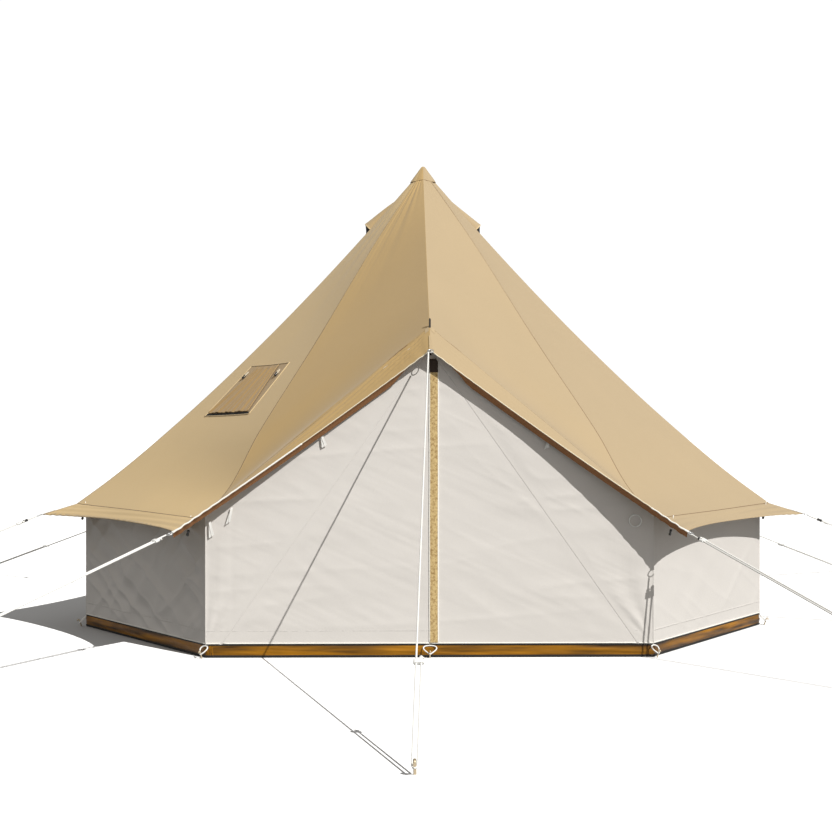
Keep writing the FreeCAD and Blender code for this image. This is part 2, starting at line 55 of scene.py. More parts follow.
# Azimuths of the ridge and the hips, from the front round by the right. Gore i has lines i and i + 1.
LINE_AZIMUTHS = [0.0, DOOR_HALF_ANGLE, DOOR_HALF_ANGLE + SIDE_STEP, DOOR_HALF_ANGLE + 2 * SIDE_STEP, 180.0]
LINE_AZIMUTHS += [-a for a in LINE_AZIMUTHS[3:0:-1]]
PROFILES = [RIDGE, DOOR_HIP, SIDE_HIP, SIDE_HIP, SIDE_HIP, SIDE_HIP, SIDE_HIP, DOOR_HIP]
FRONT_RIGHT, RIGHT, REAR_RIGHT, BACK_RIGHT, BACK_LEFT, REAR_LEFT, LEFT, FRONT_LEFT = range(8)
GORE_NAMES = ["front_right", "right", "rear_right", "back_right",
              "back_left", "rear_left", "left", "front_left"]
TIP_NAMES = ["front", "front_right", "right", "rear_right", "back", "rear_left", "left", "front_left"]
WALL_NAMES = GORE_NAMES[LEFT:FRONT_RIGHT:-1]
LEAF_PEAK, LEAF_FOOT_X = 1.600, 1.130
LEAF_LOW, LEAF_TOP = 0.072, 1.560
WALL_LOW, WALL_HIGH = 0.062, 0.7565
HEM_LOW, HEM_HIGH = 0.134, 0.142  # the stitched band along the bottom of the walls
CORD_HEIGHT = 0.0725              # the white cord under it
CLOTH = 0.0012                    # thickness of the wall canvas
LEAF_GAP = 0.007                  # from a leaf's edge to the line that it turns on

ROPE_RADIUS = 0.004
STRAND_OFFSET = 0.010
RING_RADIUS = 0.015
PEG_LOOP_HEIGHT = 0.030
C = LINE_AZIMUTHS[:0:-1]          # wall corners, from the front left round the back
GUYS = {                          # azimuth of the tip, azimuth and radius of the peg, place of the runner
    "front": (0.0, -1.59, 4.734, 0.80),
    "front_left": (C[0], C[0] - 4.0, 4.200, 0.03),
    "left": (C[1], C[1] + 5.0, 3.900, 0.05),
    "rear_left": (C[2], C[2] - 3.0, 4.700, 0.62),
    "back": (180.0, 180.0, 4.200, 0.05),
    "rear_right": (C[4], C[4] + 3.0, 4.700, 0.62),
    "right": (C[5], C[5] - 5.0, 3.900, 0.05),
    "front_right": (C[6], C[6] - 1.3, 4.200, 0.03),
}


# ---- small helpers ----
def polar(azimuth, radius, z):
    a = math.radians(azimuth)
    return Vector((radius * math.sin(a), -radius * math.cos(a), z))


def smooth_line(at, knots, values):
    """Cubic through the knots, with tangents from the neighbours."""
    at, knots, values = np.asarray(at, float), np.asarray(knots, float), np.asarray(values, float)
    slopes = np.gradient(values, knots)
    i = np.clip(np.searchsorted(knots, at, side="right") - 1, 0, len(knots) - 2)
    h = knots[i + 1] - knots[i]
    t = (at - knots[i]) / h
    a, b = values[i], values[i + 1]
    return ((2 * t**3 - 3 * t**2 + 1) * a + (t**3 - 2 * t**2 + t) * h * slopes[i]
            + (-2 * t**3 + 3 * t**2) * b + (t**3 - t**2) * h * slopes[i + 1])


def unit(v):
    return v / np.maximum(np.linalg.norm(v, axis=-1, keepdims=True), 1e-12)


def step(a, b, x):
    """Smooth rise from 0 at a to 1 at b."""
    t = np.clip((x - a) / (b - a), 0, 1)
    return t * t * (3 - 2 * t)


def ripples(count, x, phase=0.0):
    return np.sin(2 * math.pi * count * x + phase)


def noise(x, y, seed):
    """Smooth random field between -1 and 1 that changes over a distance of 1."""
    table = np.random.default_rng(seed).uniform(-1, 1, (64, 64))
    x, y = np.broadcast_arrays(np.asarray(x, float), np.asarray(y, float))
    i, j = np.floor(x).astype(int), np.floor(y).astype(int)
    fx, fy = x - i, y - j
    fx, fy = fx * fx * (3 - 2 * fx), fy * fy * (3 - 2 * fy)
    a, b = table[i % 64, j % 64], table[(i + 1) % 64, j % 64]
    c, d = table[i % 64, (j + 1) % 64], table[(i + 1) % 64, (j + 1) % 64]
    return (a * (1 - fx) + b * fx) * (1 - fy) + (c * (1 - fx) + d * fx) * fy


def creases(x, z, angle, long, short, seed):
    """Long ridges that run at an angle to the x axis."""
    a = math.radians(angle)
    along, across = x * math.cos(a) + z * math.sin(a), -x * math.sin(a) + z * math.cos(a)
    n = noise(along / long + 20, across / short + 20, seed)
    return 1 - 2 * np.abs(n) ** 0.7


def object_from(name, verts, faces, uv=None, smooth=True):
    mesh = bpy.data.meshes.new(name)
    mesh.from_pydata([tuple(v) for v in verts], [], [tuple(f) for f in faces])
    if uv is not None:
        layer = mesh.uv_layers.new(name="UVMap")
        index = np.empty(len(mesh.loops), dtype=np.int32)
        mesh.loops.foreach_get("vertex_index", index)
        layer.data.foreach_set("uv", np.asarray(uv, dtype=np.float32)[index].ravel())
    mesh.polygons.foreach_set("use_smooth", [smooth] * len(mesh.polygons))
    mesh.update()
    obj = bpy.data.objects.new(name, mesh)
    bpy.context.scene.collection.objects.link(obj)
    return obj


def thicken(obj, thickness, offset=-1.0):
    solid = obj.modifiers.new("thickness", "SOLIDIFY")
    solid.thickness = thickness
    solid.offset = offset


def with_rim(values, wrap):
    """Adds a row and a column just inside each border, so that a cut edge stays a narrow edge."""
    for axis in (0,) if wrap else (0, 1):
        v = np.moveaxis(values, axis, 0)
        first, last = v[0] * 0.97 + v[1] * 0.03, v[-1] * 0.97 + v[-2] * 0.03
        v = np.concatenate([v[:1], first[None], v[1:-1], last[None], v[-1:]])
        values = np.moveaxis(v, 0, axis)
    return values


def grid(name, points, uv=None, wrap=False, thickness=0.0, offset=-1.0, hole=None):
    """A cloth piece from rows of points. A positive thickness is added on one side."""
    if hole is None and min(points.shape[:2]) > 2:
        points = with_rim(points, wrap)
        uv = None if uv is None else with_rim(uv, wrap)
    rows, cols = points.shape[:2]
    faces = []
    for r in range(rows - 1):
        for c in range(cols if wrap else cols - 1):
            if hole is not None and hole[r, c]:
                continue
            d = (c + 1) % cols
            faces.append((r * cols + c, r * cols + d, (r + 1) * cols + d, (r + 1) * cols + c))
    flat_uv = None if uv is None else uv.reshape(-1, 2)
    obj = object_from(name, points.reshape(-1, 3), faces, flat_uv)
    if thickness:
        thicken(obj, thickness, offset)
    return obj


def tube(name, path, radius, sides=10, closed=False):
    """A round tube along a path of points; radius may be a list."""
    path = np.asarray(path, float)
    n = len(path)
    radii = np.full(n, radius) if np.isscalar(radius) else np.asarray(radius)
    if closed:
        tangents = unit(np.roll(path, -1, 0) - np.roll(path, 1, 0))
    else:
        tangents = unit(np.gradient(path, axis=0))
    helper = np.array([0.0, 0.0, 1.0]) if abs(tangents[0][2]) < 0.9 else np.array([1.0, 0.0, 0.0])
    side = unit(np.cross(tangents[0], helper))
    verts, faces = [], []
    for i in range(n):
        side = unit(side - tangents[i] * np.dot(side, tangents[i]))
        up = np.cross(tangents[i], side)
        for k in range(sides):
            a = 2 * math.pi * k / sides
            verts.append(path[i] + (side * math.cos(a) + up * math.sin(a)) * radii[i])
    for i in range(n if closed else n - 1):
        j = (i + 1) % n
        for k in range(sides):
            m = (k + 1) % sides
            faces.append((i * sides + k, i * sides + m, j * sides + m, j * sides + k))
    if not closed:
        faces.append(tuple(range(sides))[::-1])
        faces.append(tuple((n - 1) * sides + k for k in range(sides)))
    return object_from(name, verts, faces)


def joined(name, objects):
    """Several mesh objects as one."""
    verts, faces = [], []
    for o in objects:
        base = len(verts)
        verts += [tuple(v.co) for v in o.data.vertices]
        faces += [tuple(base + i for i in p.vertices) for p in o.data.polygons]
        bpy.data.objects.remove(o, do_unlink=True)
    return object_from(name, verts, faces)


# ---- materials ----
def material(name, color, roughness=0.8, metallic=0.0, sheen=0.0):
    m = bpy.data.materials.new(name)
    m.use_nodes = True
    shader = m.node_tree.nodes["Principled BSDF"]
    shader.inputs["Base Color"].default_value = (*color, 1.0)
    shader.inputs["Roughness"].default_value = roughness
    shader.inputs["Metallic"].default_value = metallic
    shader.inputs["Sheen Weight"].default_value = sheen
    return m


def feed(m, socket, value):
    """Links an output to a socket, or sets the socket to a constant."""
    if hasattr(value, "is_linked"):
        m.node_tree.links.new(value, socket)
    else:
        socket.default_value = value


def output_to(m, **sockets):
    """Links outputs to the sockets of the material's shader."""
    shader = m.node_tree.nodes["Principled BSDF"]
    for key, output in sockets.items():
        m.node_tree.links.new(output, shader.inputs[key.replace("_", " ")])


def node(m, kind, **inputs):
    made = m.node_tree.nodes.new(kind)
    for key, value in inputs.items():
        feed(m, made.inputs[key.replace("_", " ")], value)
    return made


def math_node(m, operation, a, b):
    made = m.node_tree.nodes.new("ShaderNodeMath")
    made.operation = operation
    feed(m, made.inputs[0], a)
    feed(m, made.inputs[1], b)
    return made.outputs[0]


def mix_color(m, factor, a, b, blend="MIX"):
    made = m.node_tree.nodes.new("ShaderNodeMix")
    made.data_type = "RGBA"
    made.blend_type = blend
    feed(m, made.inputs[0], factor)
    for socket, color in ((made.inputs[6], a), (made.inputs[7], b)):
        feed(m, socket, color if hasattr(color, "is_linked") else (*color, 1.0))
    return made.outputs[2]


def bump(m, strength, distance, height):
    return node(m, "ShaderNodeBump", Strength=strength, Distance=distance, Height=height).outputs["Normal"]


def ramp_between(m, factor, low, high):
    """Black below low and white above high."""
    made = node(m, "ShaderNodeValToRGB", Fac=factor)
    made.color_ramp.elements[0].position = low
    made.color_ramp.elements[1].position = high
    return made.outputs["Color"]


def texture(m, place, scale, detail, roughness=0.5):
    """A noise field over a coordinate."""
    made = node(m, "ShaderNodeTexNoise", Vector=place, Scale=scale, Detail=detail, Roughness=roughness)
    return made.outputs["Fac"]


def own_place(m):
    return node(m, "ShaderNodeTexCoord").outputs["Object"]


def shade(color, k):
    return tuple(min(1.0, c * k) for c in color)


def waves(m, coordinate, direction, period):
    """Parallel bands; a wave node of scale 1 has a period of 0.314 m."""
    wave = node(m, "ShaderNodeTexWave", Vector=coordinate, Scale=0.314 / period, Distortion=0.3)
    wave.wave_type = "BANDS"
    wave.bands_direction = direction
    return wave.outputs["Fac"]


def cloth(name, color, thread=0.0016, variation=0.07, rough=0.9, sheen=0.15, relief=0.25):
    """Woven canvas: two crossing thread directions, slubs, and slow changes of colour."""
    m = material(name, color, rough, sheen=sheen)
    place = node(m, "ShaderNodeTexCoord")
    weave_a = waves(m, place.outputs["UV"], "X", thread)
    weave_b = waves(m, place.outputs["UV"], "Y", thread)
    weave = math_node(m, "MULTIPLY", weave_a, weave_b)
    slow = texture(m, place.outputs["Object"], 2.2, 5.0, 0.6)
    slub = texture(m, place.outputs["Object"], 160.0, 3.0, 0.7)
    tone = mix_color(m, slow, shade(color, 1 - variation), shade(color, 1 + variation))
    tone = mix_color(m, math_node(m, "MULTIPLY", slub, 0.22), tone, shade(color, 0.72))
    height = math_node(m, "ADD", weave, math_node(m, "MULTIPLY", slub, 1.2))
    output_to(m, Base_Color=tone, Normal=bump(m, relief, 0.0005, height))
    return m


def stitched(name, color, width, thread_color, rows=(0.22, 0.78), stitch=0.006):
    """A seam band, u across from 0 to 1 and v along in metres, with lines of stitches."""
    m = material(name, color, 0.9, sheen=0.1)
    place = node(m, "ShaderNodeTexCoord")
    split = node(m, "ShaderNodeSeparateXYZ", Vector=place.outputs["UV"])
    along = math_node(m, "FRACT", math_node(m, "DIVIDE", split.outputs["Y"], stitch), 0.0)
    dash = math_node(m, "LESS_THAN", along, 0.62)
    line = None
    for row in rows:
        off = math_node(m, "ABSOLUTE", math_node(m, "SUBTRACT", split.outputs["X"], row), 0.0)
        near = math_node(m, "LESS_THAN", off, 0.0009 / width)
        line = near if line is None else math_node(m, "ADD", line, near)
    thread = math_node(m, "MULTIPLY", line, dash)
    slow = texture(m, place.outputs["Object"], 60.0, 3.0)
    tone = mix_color(m, slow, shade(color, 0.92), shade(color, 1.06))
    tone = mix_color(m, thread, tone, thread_color)
    output_to(m, Base_Color=tone, Normal=bump(m, 0.5, 0.0006, thread))
    return m


def speckled(name, color, roughness, metallic=0.0, scale=90.0, amount=0.12):
    """Plastic, metal or rubber with a fine uneven surface."""
    m = material(name, color, roughness, metallic)
    fine = texture(m, own_place(m), scale, 4.0)
    tone = mix_color(m, fine, shade(color, 1 - amount), shade(color, 1 + amount))
    output_to(m, Base_Color=tone, Normal=bump(m, 0.1, 0.0005, fine))
    return m


def woven_color(m):
    """The output that colours a material so far."""
    return m.node_tree.nodes["Principled BSDF"].inputs["Base Color"].links[0].from_socket


def mottled(name, light, dark):
    """Coated webbing with an uneven, worn colour."""
    m = cloth(name, light, 0.003, 0.10, rough=0.7, relief=0.6)
    woven = woven_color(m)
    patches = ramp_between(m, texture(m, own_place(m), 75.0, 4.0, 0.65), 0.36, 0.56)
    output_to(m, Base_Color=mix_color(m, patches, dark, woven))
    return m


def pvc(name, dark, light):
    """Coated mustard sheet, shiny, with long dark and light streaks in its colour that paint the shade and
    highlights where it is crumpled.
    """
    m = material(name, light, 0.5)
    m.node_tree.nodes["Principled BSDF"].inputs["Specular IOR Level"].default_value = 0.22
    place = node(m, "ShaderNodeTexCoord")
    long_way = node(m, "ShaderNodeMapping", Vector=place.outputs["UV"], Scale=(1.6, 22.0, 1.0))
    # Painted shade and painted highlights: long streaks of dark and light colour.
    painted_crease_shading = ramp_between(m, texture(m, long_way.outputs["Vector"], 1.0, 3.0), 0.36, 0.62)
    grain = texture(m, place.outputs["Object"], 70.0, 4.0)
    output_to(m, Base_Color=mix_color(m, painted_crease_shading, dark, light), Normal=bump(m, 0.35, 0.002, grain))
    return m


# The azimuth where a tint of the roof starts, and the tint, which paints light onto the gores on the shaded
# side.
SHADED_GORE_PAINTED_LIGHT = [(-180.0, (1.05, 1.00, 0.90)), (C[2], (1.12, 1.06, 0.92)), (C[1], (1.35, 1.27, 1.00)),
              (C[0], (1.05, 0.94, 0.67)), (0.0, (1.0, 1.0, 1.0))]


def roof_canvas(name):
    """The roof's canvas, with a tint per gore: painted light that brightens and warms the gores on the
    shaded side.
    """
    m = cloth(name, SAND, 0.0018, 0.05)
    woven = woven_color(m)
    split = node(m, "ShaderNodeSeparateXYZ", Vector=own_place(m))
    forward = math_node(m, "MULTIPLY", split.outputs["Y"], -1.0)
    azimuth = math_node(m, "ARCTAN2", split.outputs["X"], forward)
    turn = math_node(m, "ADD", math_node(m, "DIVIDE", azimuth, 2 * math.pi), 0.5)
    # Painted light: a tint chosen by azimuth lightens the shaded gores.
    ramp = node(m, "ShaderNodeValToRGB", Fac=turn)
    ramp.color_ramp.interpolation = "CONSTANT"
    stops = ramp.color_ramp.elements
    while len(stops) < len(SHADED_GORE_PAINTED_LIGHT):
        stops.new(0.5)
    for stop, (start, tint) in zip(stops, SHADED_GORE_PAINTED_LIGHT):
        stop.position = start / 360.0 + 0.5
        stop.color = (*tint, 1.0)
    output_to(m, Base_Color=mix_color(m, 1.0, woven, ramp.outputs["Color"], "MULTIPLY"))
    return m


SAND = (0.425, 0.322, 0.190)
CREAM = (0.672, 0.640, 0.607)
WHITE = (0.86, 0.85, 0.82)
SUNLIGHT = (1.0, 0.985, 0.95)
roof_cloth = roof_canvas("roof_canvas")
wall_cloth = cloth("wall_canvas", CREAM, 0.0014, 0.035)
roof_seam = stitched("roof_seam", (0.185, 0.110, 0.050), 0.010, (0.15, 0.09, 0.04))
roof_hem = stitched("roof_hem", shade(SAND, 1.03), 0.024, shade(SAND, 0.7), rows=(0.8,))
wall_seam = stitched("wall_seam", shade(CREAM, 0.97), 0.010, shade(CREAM, 0.8))
piping = cloth("piping", (0.88, 0.86, 0.80), 0.002, 0.03)
cream_piping = cloth("cream_piping", (0.78, 0.70, 0.54), 0.002, 0.03)
webbing = cloth("webbing", WHITE, 0.0025, 0.04, relief=0.6)
strip_cloth = mottled("storm_strip_cloth", (0.60, 0.44, 0.20), (0.30, 0.18, 0.055))
stove_cloth = cloth("stove_cloth", (0.395, 0.248, 0.092), 0.003, 0.08)
tub_pvc = pvc("tub_pvc", (0.030, 0.012, 0.001), (0.37, 0.155, 0.005))
floor_pvc = pvc("floor_pvc", (0.20, 0.11, 0.02), (0.34, 0.20, 0.04))
black_cloth = cloth("black_cloth", (0.012, 0.011, 0.010), 0.003, 0.3, sheen=0.0)
black_plastic = speckled("black_plastic", (0.015, 0.015, 0.015), 0.35)
white_plastic = speckled("white_plastic", (0.80, 0.80, 0.78), 0.35)
steel = speckled("galvanised_steel", (0.55, 0.56, 0.57), 0.38, 1.0, 240.0, 0.18)
peg_steel = speckled("peg_steel", (0.48, 0.40, 0.28), 0.45, 1.0, 200.0, 0.25)
dark_steel = speckled("dark_steel", (0.05, 0.045, 0.04), 0.5, 0.6)
pale_hem = cloth("pale_hem", (0.60, 0.46, 0.26), 0.002, 0.04)
patch_cloth = cloth("patch_cloth", (0.38, 0.25, 0.105), 0.003, 0.10)
# Dark brown cloth that paints the shade under the front eave.
painted_shade_facing = cloth("painted_shade_facing", (0.30, 0.135, 0.050), 0.002, 0.10, sheen=0.0)
# Near-black cloth that paints the shadow on the top of the storm strip.
strip_top_painted_shadow = cloth("strip_top_painted_shadow", (0.022, 0.011, 0.005), 0.002, 0.10, sheen=0.0)
black_mesh = cloth("black_mesh", (0.008, 0.008, 0.008), 0.004, 0.3, sheen=0.0, relief=0.8)
rubber = speckled("foot_rubber", (0.025, 0.025, 0.025), 0.7)
zip_brass = speckled("zip_metal", (0.40, 0.34, 0.24), 0.4, 1.0)


def dress(obj, m, body="tent", replaces=()):
    """Gives a piece its material and its body, and hides the parts that it stands for."""
    obj.data.materials.clear()
    obj.data.materials.append(m)
    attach(obj, body)
    if replaces:
        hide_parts(*replaces)
    return obj


def edge_tube(name, path, radius, m, body="tent", sides=8, closed=False):
    """A cord, a piping or another round piece along a path."""
    return dress(tube(name, path, radius, sides, closed), m, body)


def cloth_piece(name, points, uv, m, body="tent", replaces=(),
                thickness=CLOTH, offset=-1.0, wrap=False):
    """A sheet from rows of points, with a thickness."""
    obj = dress(grid(name, points, uv, wrap, thickness, offset), m, body, replaces)
    return obj


def rope_material():
    """Braided white rope."""
    m = material("rope", WHITE, 0.75, sheen=0.2)
    braid = node(m, "ShaderNodeTexVoronoi", Vector=own_place(m), Scale=420.0).outputs["Distance"]
    tone = mix_color(m, braid, shade(WHITE, 0.86), WHITE)
    output_to(m, Base_Color=tone, Normal=bump(m, 0.6, 0.0008, braid))
    return m


rope_cloth = rope_material()

# ---- camera ----
camera_data = bpy.data.cameras.new("camera")
camera_data.lens = 81.5
camera_data.sensor_width = 36.0
camera = bpy.data.objects.new("camera", camera_data)
camera.location = (-0.245, -11.36, 1.304)
camera.rotation_euler = (math.radians(89.66), 0.0, math.radians(-1.019))
bpy.context.scene.collection.objects.link(camera)
bpy.context.scene.camera = camera


# ---- guys: camera and cords come first ----
def guy_route(name):
    """Control points of a guy: down to the peg, round it, and back up to the runner."""
    tip_azimuth, peg_azimuth, peg_radius, place = GUYS[name]
    r, z = RIDGE[6] if name == "front" else SIDE_HIP[6]
    ring = polar(tip_azimuth, r + RING_RADIUS + 0.005, z - 0.006)
    peg = polar(peg_azimuth, peg_radius, PEG_LOOP_HEIGHT)
    length = (peg - ring).length
    along = (peg - ring).normalized()
    across = along.cross(Vector((0, 0, 1))).normalized()
    side = across * STRAND_OFFSET
    turn = along * STRAND_OFFSET
    straight = along * 0.048
    start = ring + along * (RING_RADIUS + 0.0035) + side
    runner = ring + along * (length * place + RING_RADIUS + 0.024)
    end = runner - along * 0.026 - side
    route = [start, peg + side - straight, peg + side + turn, peg - side + turn, peg - side - straight, end]
    return route, ring, peg, runner, along, across


def make_guy(name):
    route, _, _, _, along, across = guy_route(name)
    data = bpy.data.curves.new("guy_" + name, "CURVE")
    data.dimensions = "3D"
    data.bevel_depth = ROPE_RADIUS
    data.bevel_resolution = 3
    data.resolution_u = 12
    data.use_fill_caps = True
    spline = data.splines.new("NURBS")
    spline.points.add(len(route) - 1)
    for point, co in zip(spline.points, route):
        point.co = (*co, 1.0)
    spline.order_u = 3
    spline.use_endpoint_u = True
    rope = bpy.data.objects.new("guy_" + name, data)
    bpy.context.scene.collection.objects.link(rope)
    dress(rope, rope_cloth, "tent", ["guy_rope_" + name])
    knot = make_knot("guy_knot_" + name, route[-1], along, across)


def make_knot(name, centre, along, across):
    """An overhand knot of the rope, a little thinner where it is pulled tight."""
    up = across.cross(along).normalized()
    size, count = 0.0030, 48
    path = []
    for k in range(count):
        a = 2 * math.pi * k / count
        x = (math.sin(a) + 2 * math.sin(2 * a)) * size
        y = (math.cos(a) - 2 * math.cos(2 * a)) * size
        path.append(np.array(centre + along * x + across * y + up * (-math.sin(3 * a) * size)))
    return edge_tube(name, path, ROPE_RADIUS * 0.8, rope_cloth, sides=10, closed=True)


for guy_name in GUYS:
    make_guy(guy_name)


# ---- roof ----
def valance_share(t):
    """0 down to the seam over the wall, then up to 1 at the eave."""
    return np.clip((np.asarray(t, float) - SEAM_AT) / (EAVE_AT - SEAM_AT), 0, 1)


def line_at(index, t):
    """Points on a hip or the ridge, at distances t down it."""
    index %= 8
    profile = np.array(PROFILES[index])
    t = np.asarray(t, float)
    inner = np.clip(t, 0, SEAM_AT)
    r = smooth_line(inner, HIP_AT[:6], profile[:6, 0])
    z = smooth_line(inner, HIP_AT[:6], profile[:6, 1])
    w = valance_share(t)
    r = r + (profile[6, 0] - profile[5, 0]) * w
    z = z + (profile[6, 1] - profile[5, 1]) * w
    a = math.radians(LINE_AZIMUTHS[index])
    return np.stack([r * math.sin(a), -r * math.cos(a), z], axis=-1)


def is_front(gore):
    return gore in (FRONT_RIGHT, FRONT_LEFT)


def roof_base(gore, u, t):
    """Smooth shape of the roof: u from 0 to 1 across a gore, t metres down it."""
    u = np.asarray(u, float)[..., None]
    a, b = line_at(gore, t), line_at(gore + 1, t)
    p = a * (1 - u) + b * u
    w = valance_share(t)[..., None]
    tip_a, tip_b = line_at(gore, EAVE_AT), line_at(gore + 1, EAVE_AT)
    inward = np.array([tip_a[1] - tip_b[1], tip_b[0] - tip_a[0], 0.0])
    inward /= np.linalg.norm(inward)
    if np.dot(inward, tip_a + tip_b) > 0:
        inward = -inward
    pull, rise, power = (0.060, -0.015, 1.0) if is_front(gore) else (0.109, 0.008, 0.7)
    bow = np.power(np.clip(4 * u * (1 - u), 0, 1), power)
    return p + (inward * pull + np.array([0, 0, rise])) * bow * w


def roof_normal(gore, u, t):
    e = 1e-3
    u0, u1 = np.clip(u - e, 0, 1), np.clip(u + e, 0, 1)
    t0, t1 = np.clip(t - e, 0, EAVE_AT), np.clip(t + e, 0, EAVE_AT)
    across = roof_base(gore, u1, t) - roof_base(gore, u0, t)
    down = roof_base(gore, u, t1) - roof_base(gore, u, t0)
    n = unit(np.cross(across, down))
    return np.where(n[..., 2:3] < 0, -n, n)


def gather_at(t, most):
    """Gathers of the crown, from 0 at the top to 1 at the distance where they are strongest."""
    return (t / most) * np.exp(1 - t / most)


def roof_folds(gore, u, t):
    """How far the cloth stands out of its smooth shape."""
    edge = np.sin(np.pi * u)
    d = -0.006 * edge * step(0.2, 1.2, t) * (1 - step(2.2, 2.6, t))
    d = d + 0.0022 * edge * np.sin(5.3 * u + 1.9 * gore) * np.sin(2.1 * t + 1.3 * gore)
    w = valance_share(t)
    away = np.minimum(u, 1 - u)
    if is_front(gore):
        from_peak = u if gore == FRONT_RIGHT else 1 - u
        strength = 0.0090 if gore == FRONT_LEFT else 0.0014
        reach = np.exp(-from_peak * 1.6) * step(0.0, 0.10, from_peak)
        fan = (t - SEAM_AT + 0.10) / (0.06 + 0.20 * from_peak)
        band = step(SEAM_AT - 0.30 * from_peak - 0.02, SEAM_AT + 0.02, t)
        uneven = 0.7 + 0.3 * np.sin(17 * from_peak)
        d = d + strength * reach * band * np.sin(12.5 * fan + 5.0 * from_peak) * uneven
        d = d * (1 - step(0.55, 1.0, w))
    else:
        near = np.exp(-away * 5.0) * step(0.0, 0.03, away)
        d = d + 0.0034 * near * step(-0.05, 0.25, w) * ripples(2.6, w, 6 * u + gore)
        d = d + 0.0012 * step(0.0, 0.3, w) * edge * ripples(1.6, w, 11 * u)
    fade = np.exp(-np.maximum(EAVE_AT - t, 0) / 0.30) * np.exp(-away * 9.0) * step(0.0, 0.03, away)
    d = d + 0.0030 * fade * np.sin(26 * away / (0.15 + np.maximum(EAVE_AT - t, 0)))
    gather = gather_at(t, 0.26)
    if gore in (LEFT, REAR_LEFT):
        d = d + 0.0026 * gather * ripples(3.2, u, 0.8 * t) * edge
        d = d + 0.0016 * gather * ripples(9.0, u, 2.0 * t) * step(0.3, 0.75, u) * edge**0.5
    elif gore == FRONT_LEFT:
        d = d + 0.0018 * gather * ripples(3.6, u, 0.5) * edge * (1 - step(0.45, 0.85, u))
        d = d + 0.0018 * gather * ripples(10.0, u, 3.0 * t) * edge**0.5 * (1 - step(0.20, 0.55, u))
        d = d + 0.0011 * gather_at(t, 0.08) * ripples(4, u) * edge
    else:
        d = d + 0.0010 * gather * ripples(2.0, u, gore) * edge
        d = d + 0.0007 * gather_at(t, 0.12) * ripples(7.0, u) * edge
    return d


def roof_point(gore, u, t, lift=0.0):
    gore %= 8
    u, t = np.broadcast_arrays(np.asarray(u, float), np.asarray(t, float))
    p = roof_base(gore, u, t)
    return p + roof_normal(gore, u, t) * (roof_folds(gore, u, t) + lift)[..., None]


def gore_width(gore, t):
    return np.linalg.norm(line_at(gore, t) - line_at(gore + 1, t), axis=-1)


# Rows of the roof's cloth down a gore, and columns across it, close together at the hips.
ROWS = np.concatenate([np.linspace(0, 0.7, 34), np.linspace(0.7, 2.2, 34)[1:],
                       np.linspace(2.2, SEAM_AT, 44)[1:], np.linspace(SEAM_AT, EAVE_AT, 22)[1:-1],
                       [EAVE_AT - 0.0005, EAVE_AT]])
ACROSS = 0.5 - 0.5 * np.cos(np.linspace(0, math.pi, 47))
VENT_HALF_WIDTH, VENT_TOP, VENT_LOW = 0.048, 0.24, 0.39    # the opening under a vent hood


def make_roof():
    columns, uvs, holes = [], [], []
    for gore in range(8):
        u, t = np.meshgrid(ACROSS[:-1], ROWS)
        columns.append(roof_point(gore, u, t))
        across = (u - 0.5) * gore_width(gore, t)
        uvs.append(np.stack([across, t], axis=-1))
        inside = (np.abs(across) < VENT_HALF_WIDTH) & (t > VENT_TOP) & (t < VENT_LOW)
        holes.append(inside & (gore in (REAR_LEFT, REAR_RIGHT)))
    points = np.concatenate(columns, axis=1)
    uv = np.concatenate(uvs, axis=1)
    roof = grid("roof", points, uv, wrap=True, thickness=0.0016, hole=np.concatenate(holes, axis=1))
    dress(roof, roof_cloth, "tent", ["roof_panel_" + n for n in GORE_NAMES[::-1]])
    return roof


roof = make_roof()


def band(name, left, right, raise_by=0.0014, m=roof_seam, body="tent", slot="roof_canvas"):
    """A raised strip between two lines of points; its u runs across and its v along."""
    left, right = np.asarray(left), np.asarray(right)
    mid = (left + right) / 2
    along = np.gradient(mid, axis=0)
    out = unit(np.cross(right - left, along))
    length = np.concatenate([[0], np.cumsum(np.linalg.norm(np.diff(mid, axis=0), axis=1))])
    out = np.where((out[:, 2:3] < 0) & (np.abs(out[:, 2:3]) > 0.05), -out, out)
    cuts = [(0.0, -0.3), (0.10, 1.0), (0.5, 1.1), (0.90, 1.0), (1.0, -0.3)]
    rows = np.stack([left * (1 - c) + right * c + out * raise_by * h for c, h in cuts], axis=1)
    uv = np.stack(np.broadcast_arrays([[c for c, h in cuts]], length[:, None]), axis=-1)
    return dress(grid(name, rows, uv), m, body)


SEAM_WIDTH, SEAM_LIFT = 0.009, 0.0006


def hip_seam(index, name):
    t = np.concatenate([np.linspace(0.03, SEAM_AT, 90), np.linspace(SEAM_AT, EAVE_AT - 0.004, 14)[1:]])
    before = (index - 1) % 8
    left = roof_point(before, 1 - SEAM_WIDTH / 2 / gore_width(before, t), t, SEAM_LIFT)
    right = roof_point(index, SEAM_WIDTH / 2 / gore_width(index, t), t, SEAM_LIFT)
    band(name, left, right)


for index, tip_name in enumerate(TIP_NAMES):
    hip_seam(index, "seam_hip_" + tip_name if index else "seam_ridge")


def across_band(gore, name, t_high, t_low, m=roof_seam, raise_by=0.0012):
    """A band that runs across a gore, between two distances down it."""
    u = np.linspace(0.004, 0.996, 90)
    band(name, roof_point(gore, u, t_high, SEAM_LIFT), roof_point(gore, u, t_low, SEAM_LIFT), raise_by, m)


for gore, gore_name in enumerate(GORE_NAMES):
    across_band(gore, "seam_wall_" + gore_name, SEAM_AT - 0.006, SEAM_AT + 0.001)
    if not is_front(gore):
        across_band(gore, "hem_" + gore_name, EAVE_AT - 0.024, EAVE_AT, m=roof_hem, raise_by=0.0010)


def eave_piping(gore, name, m, radius, u0=0.0, u1=1.0):
    u = np.linspace(u0, u1, 100)
    line = roof_point(gore, u, EAVE_AT) - np.array([0, 0, radius * 0.5])
    edge_tube(name, line, radius, m)


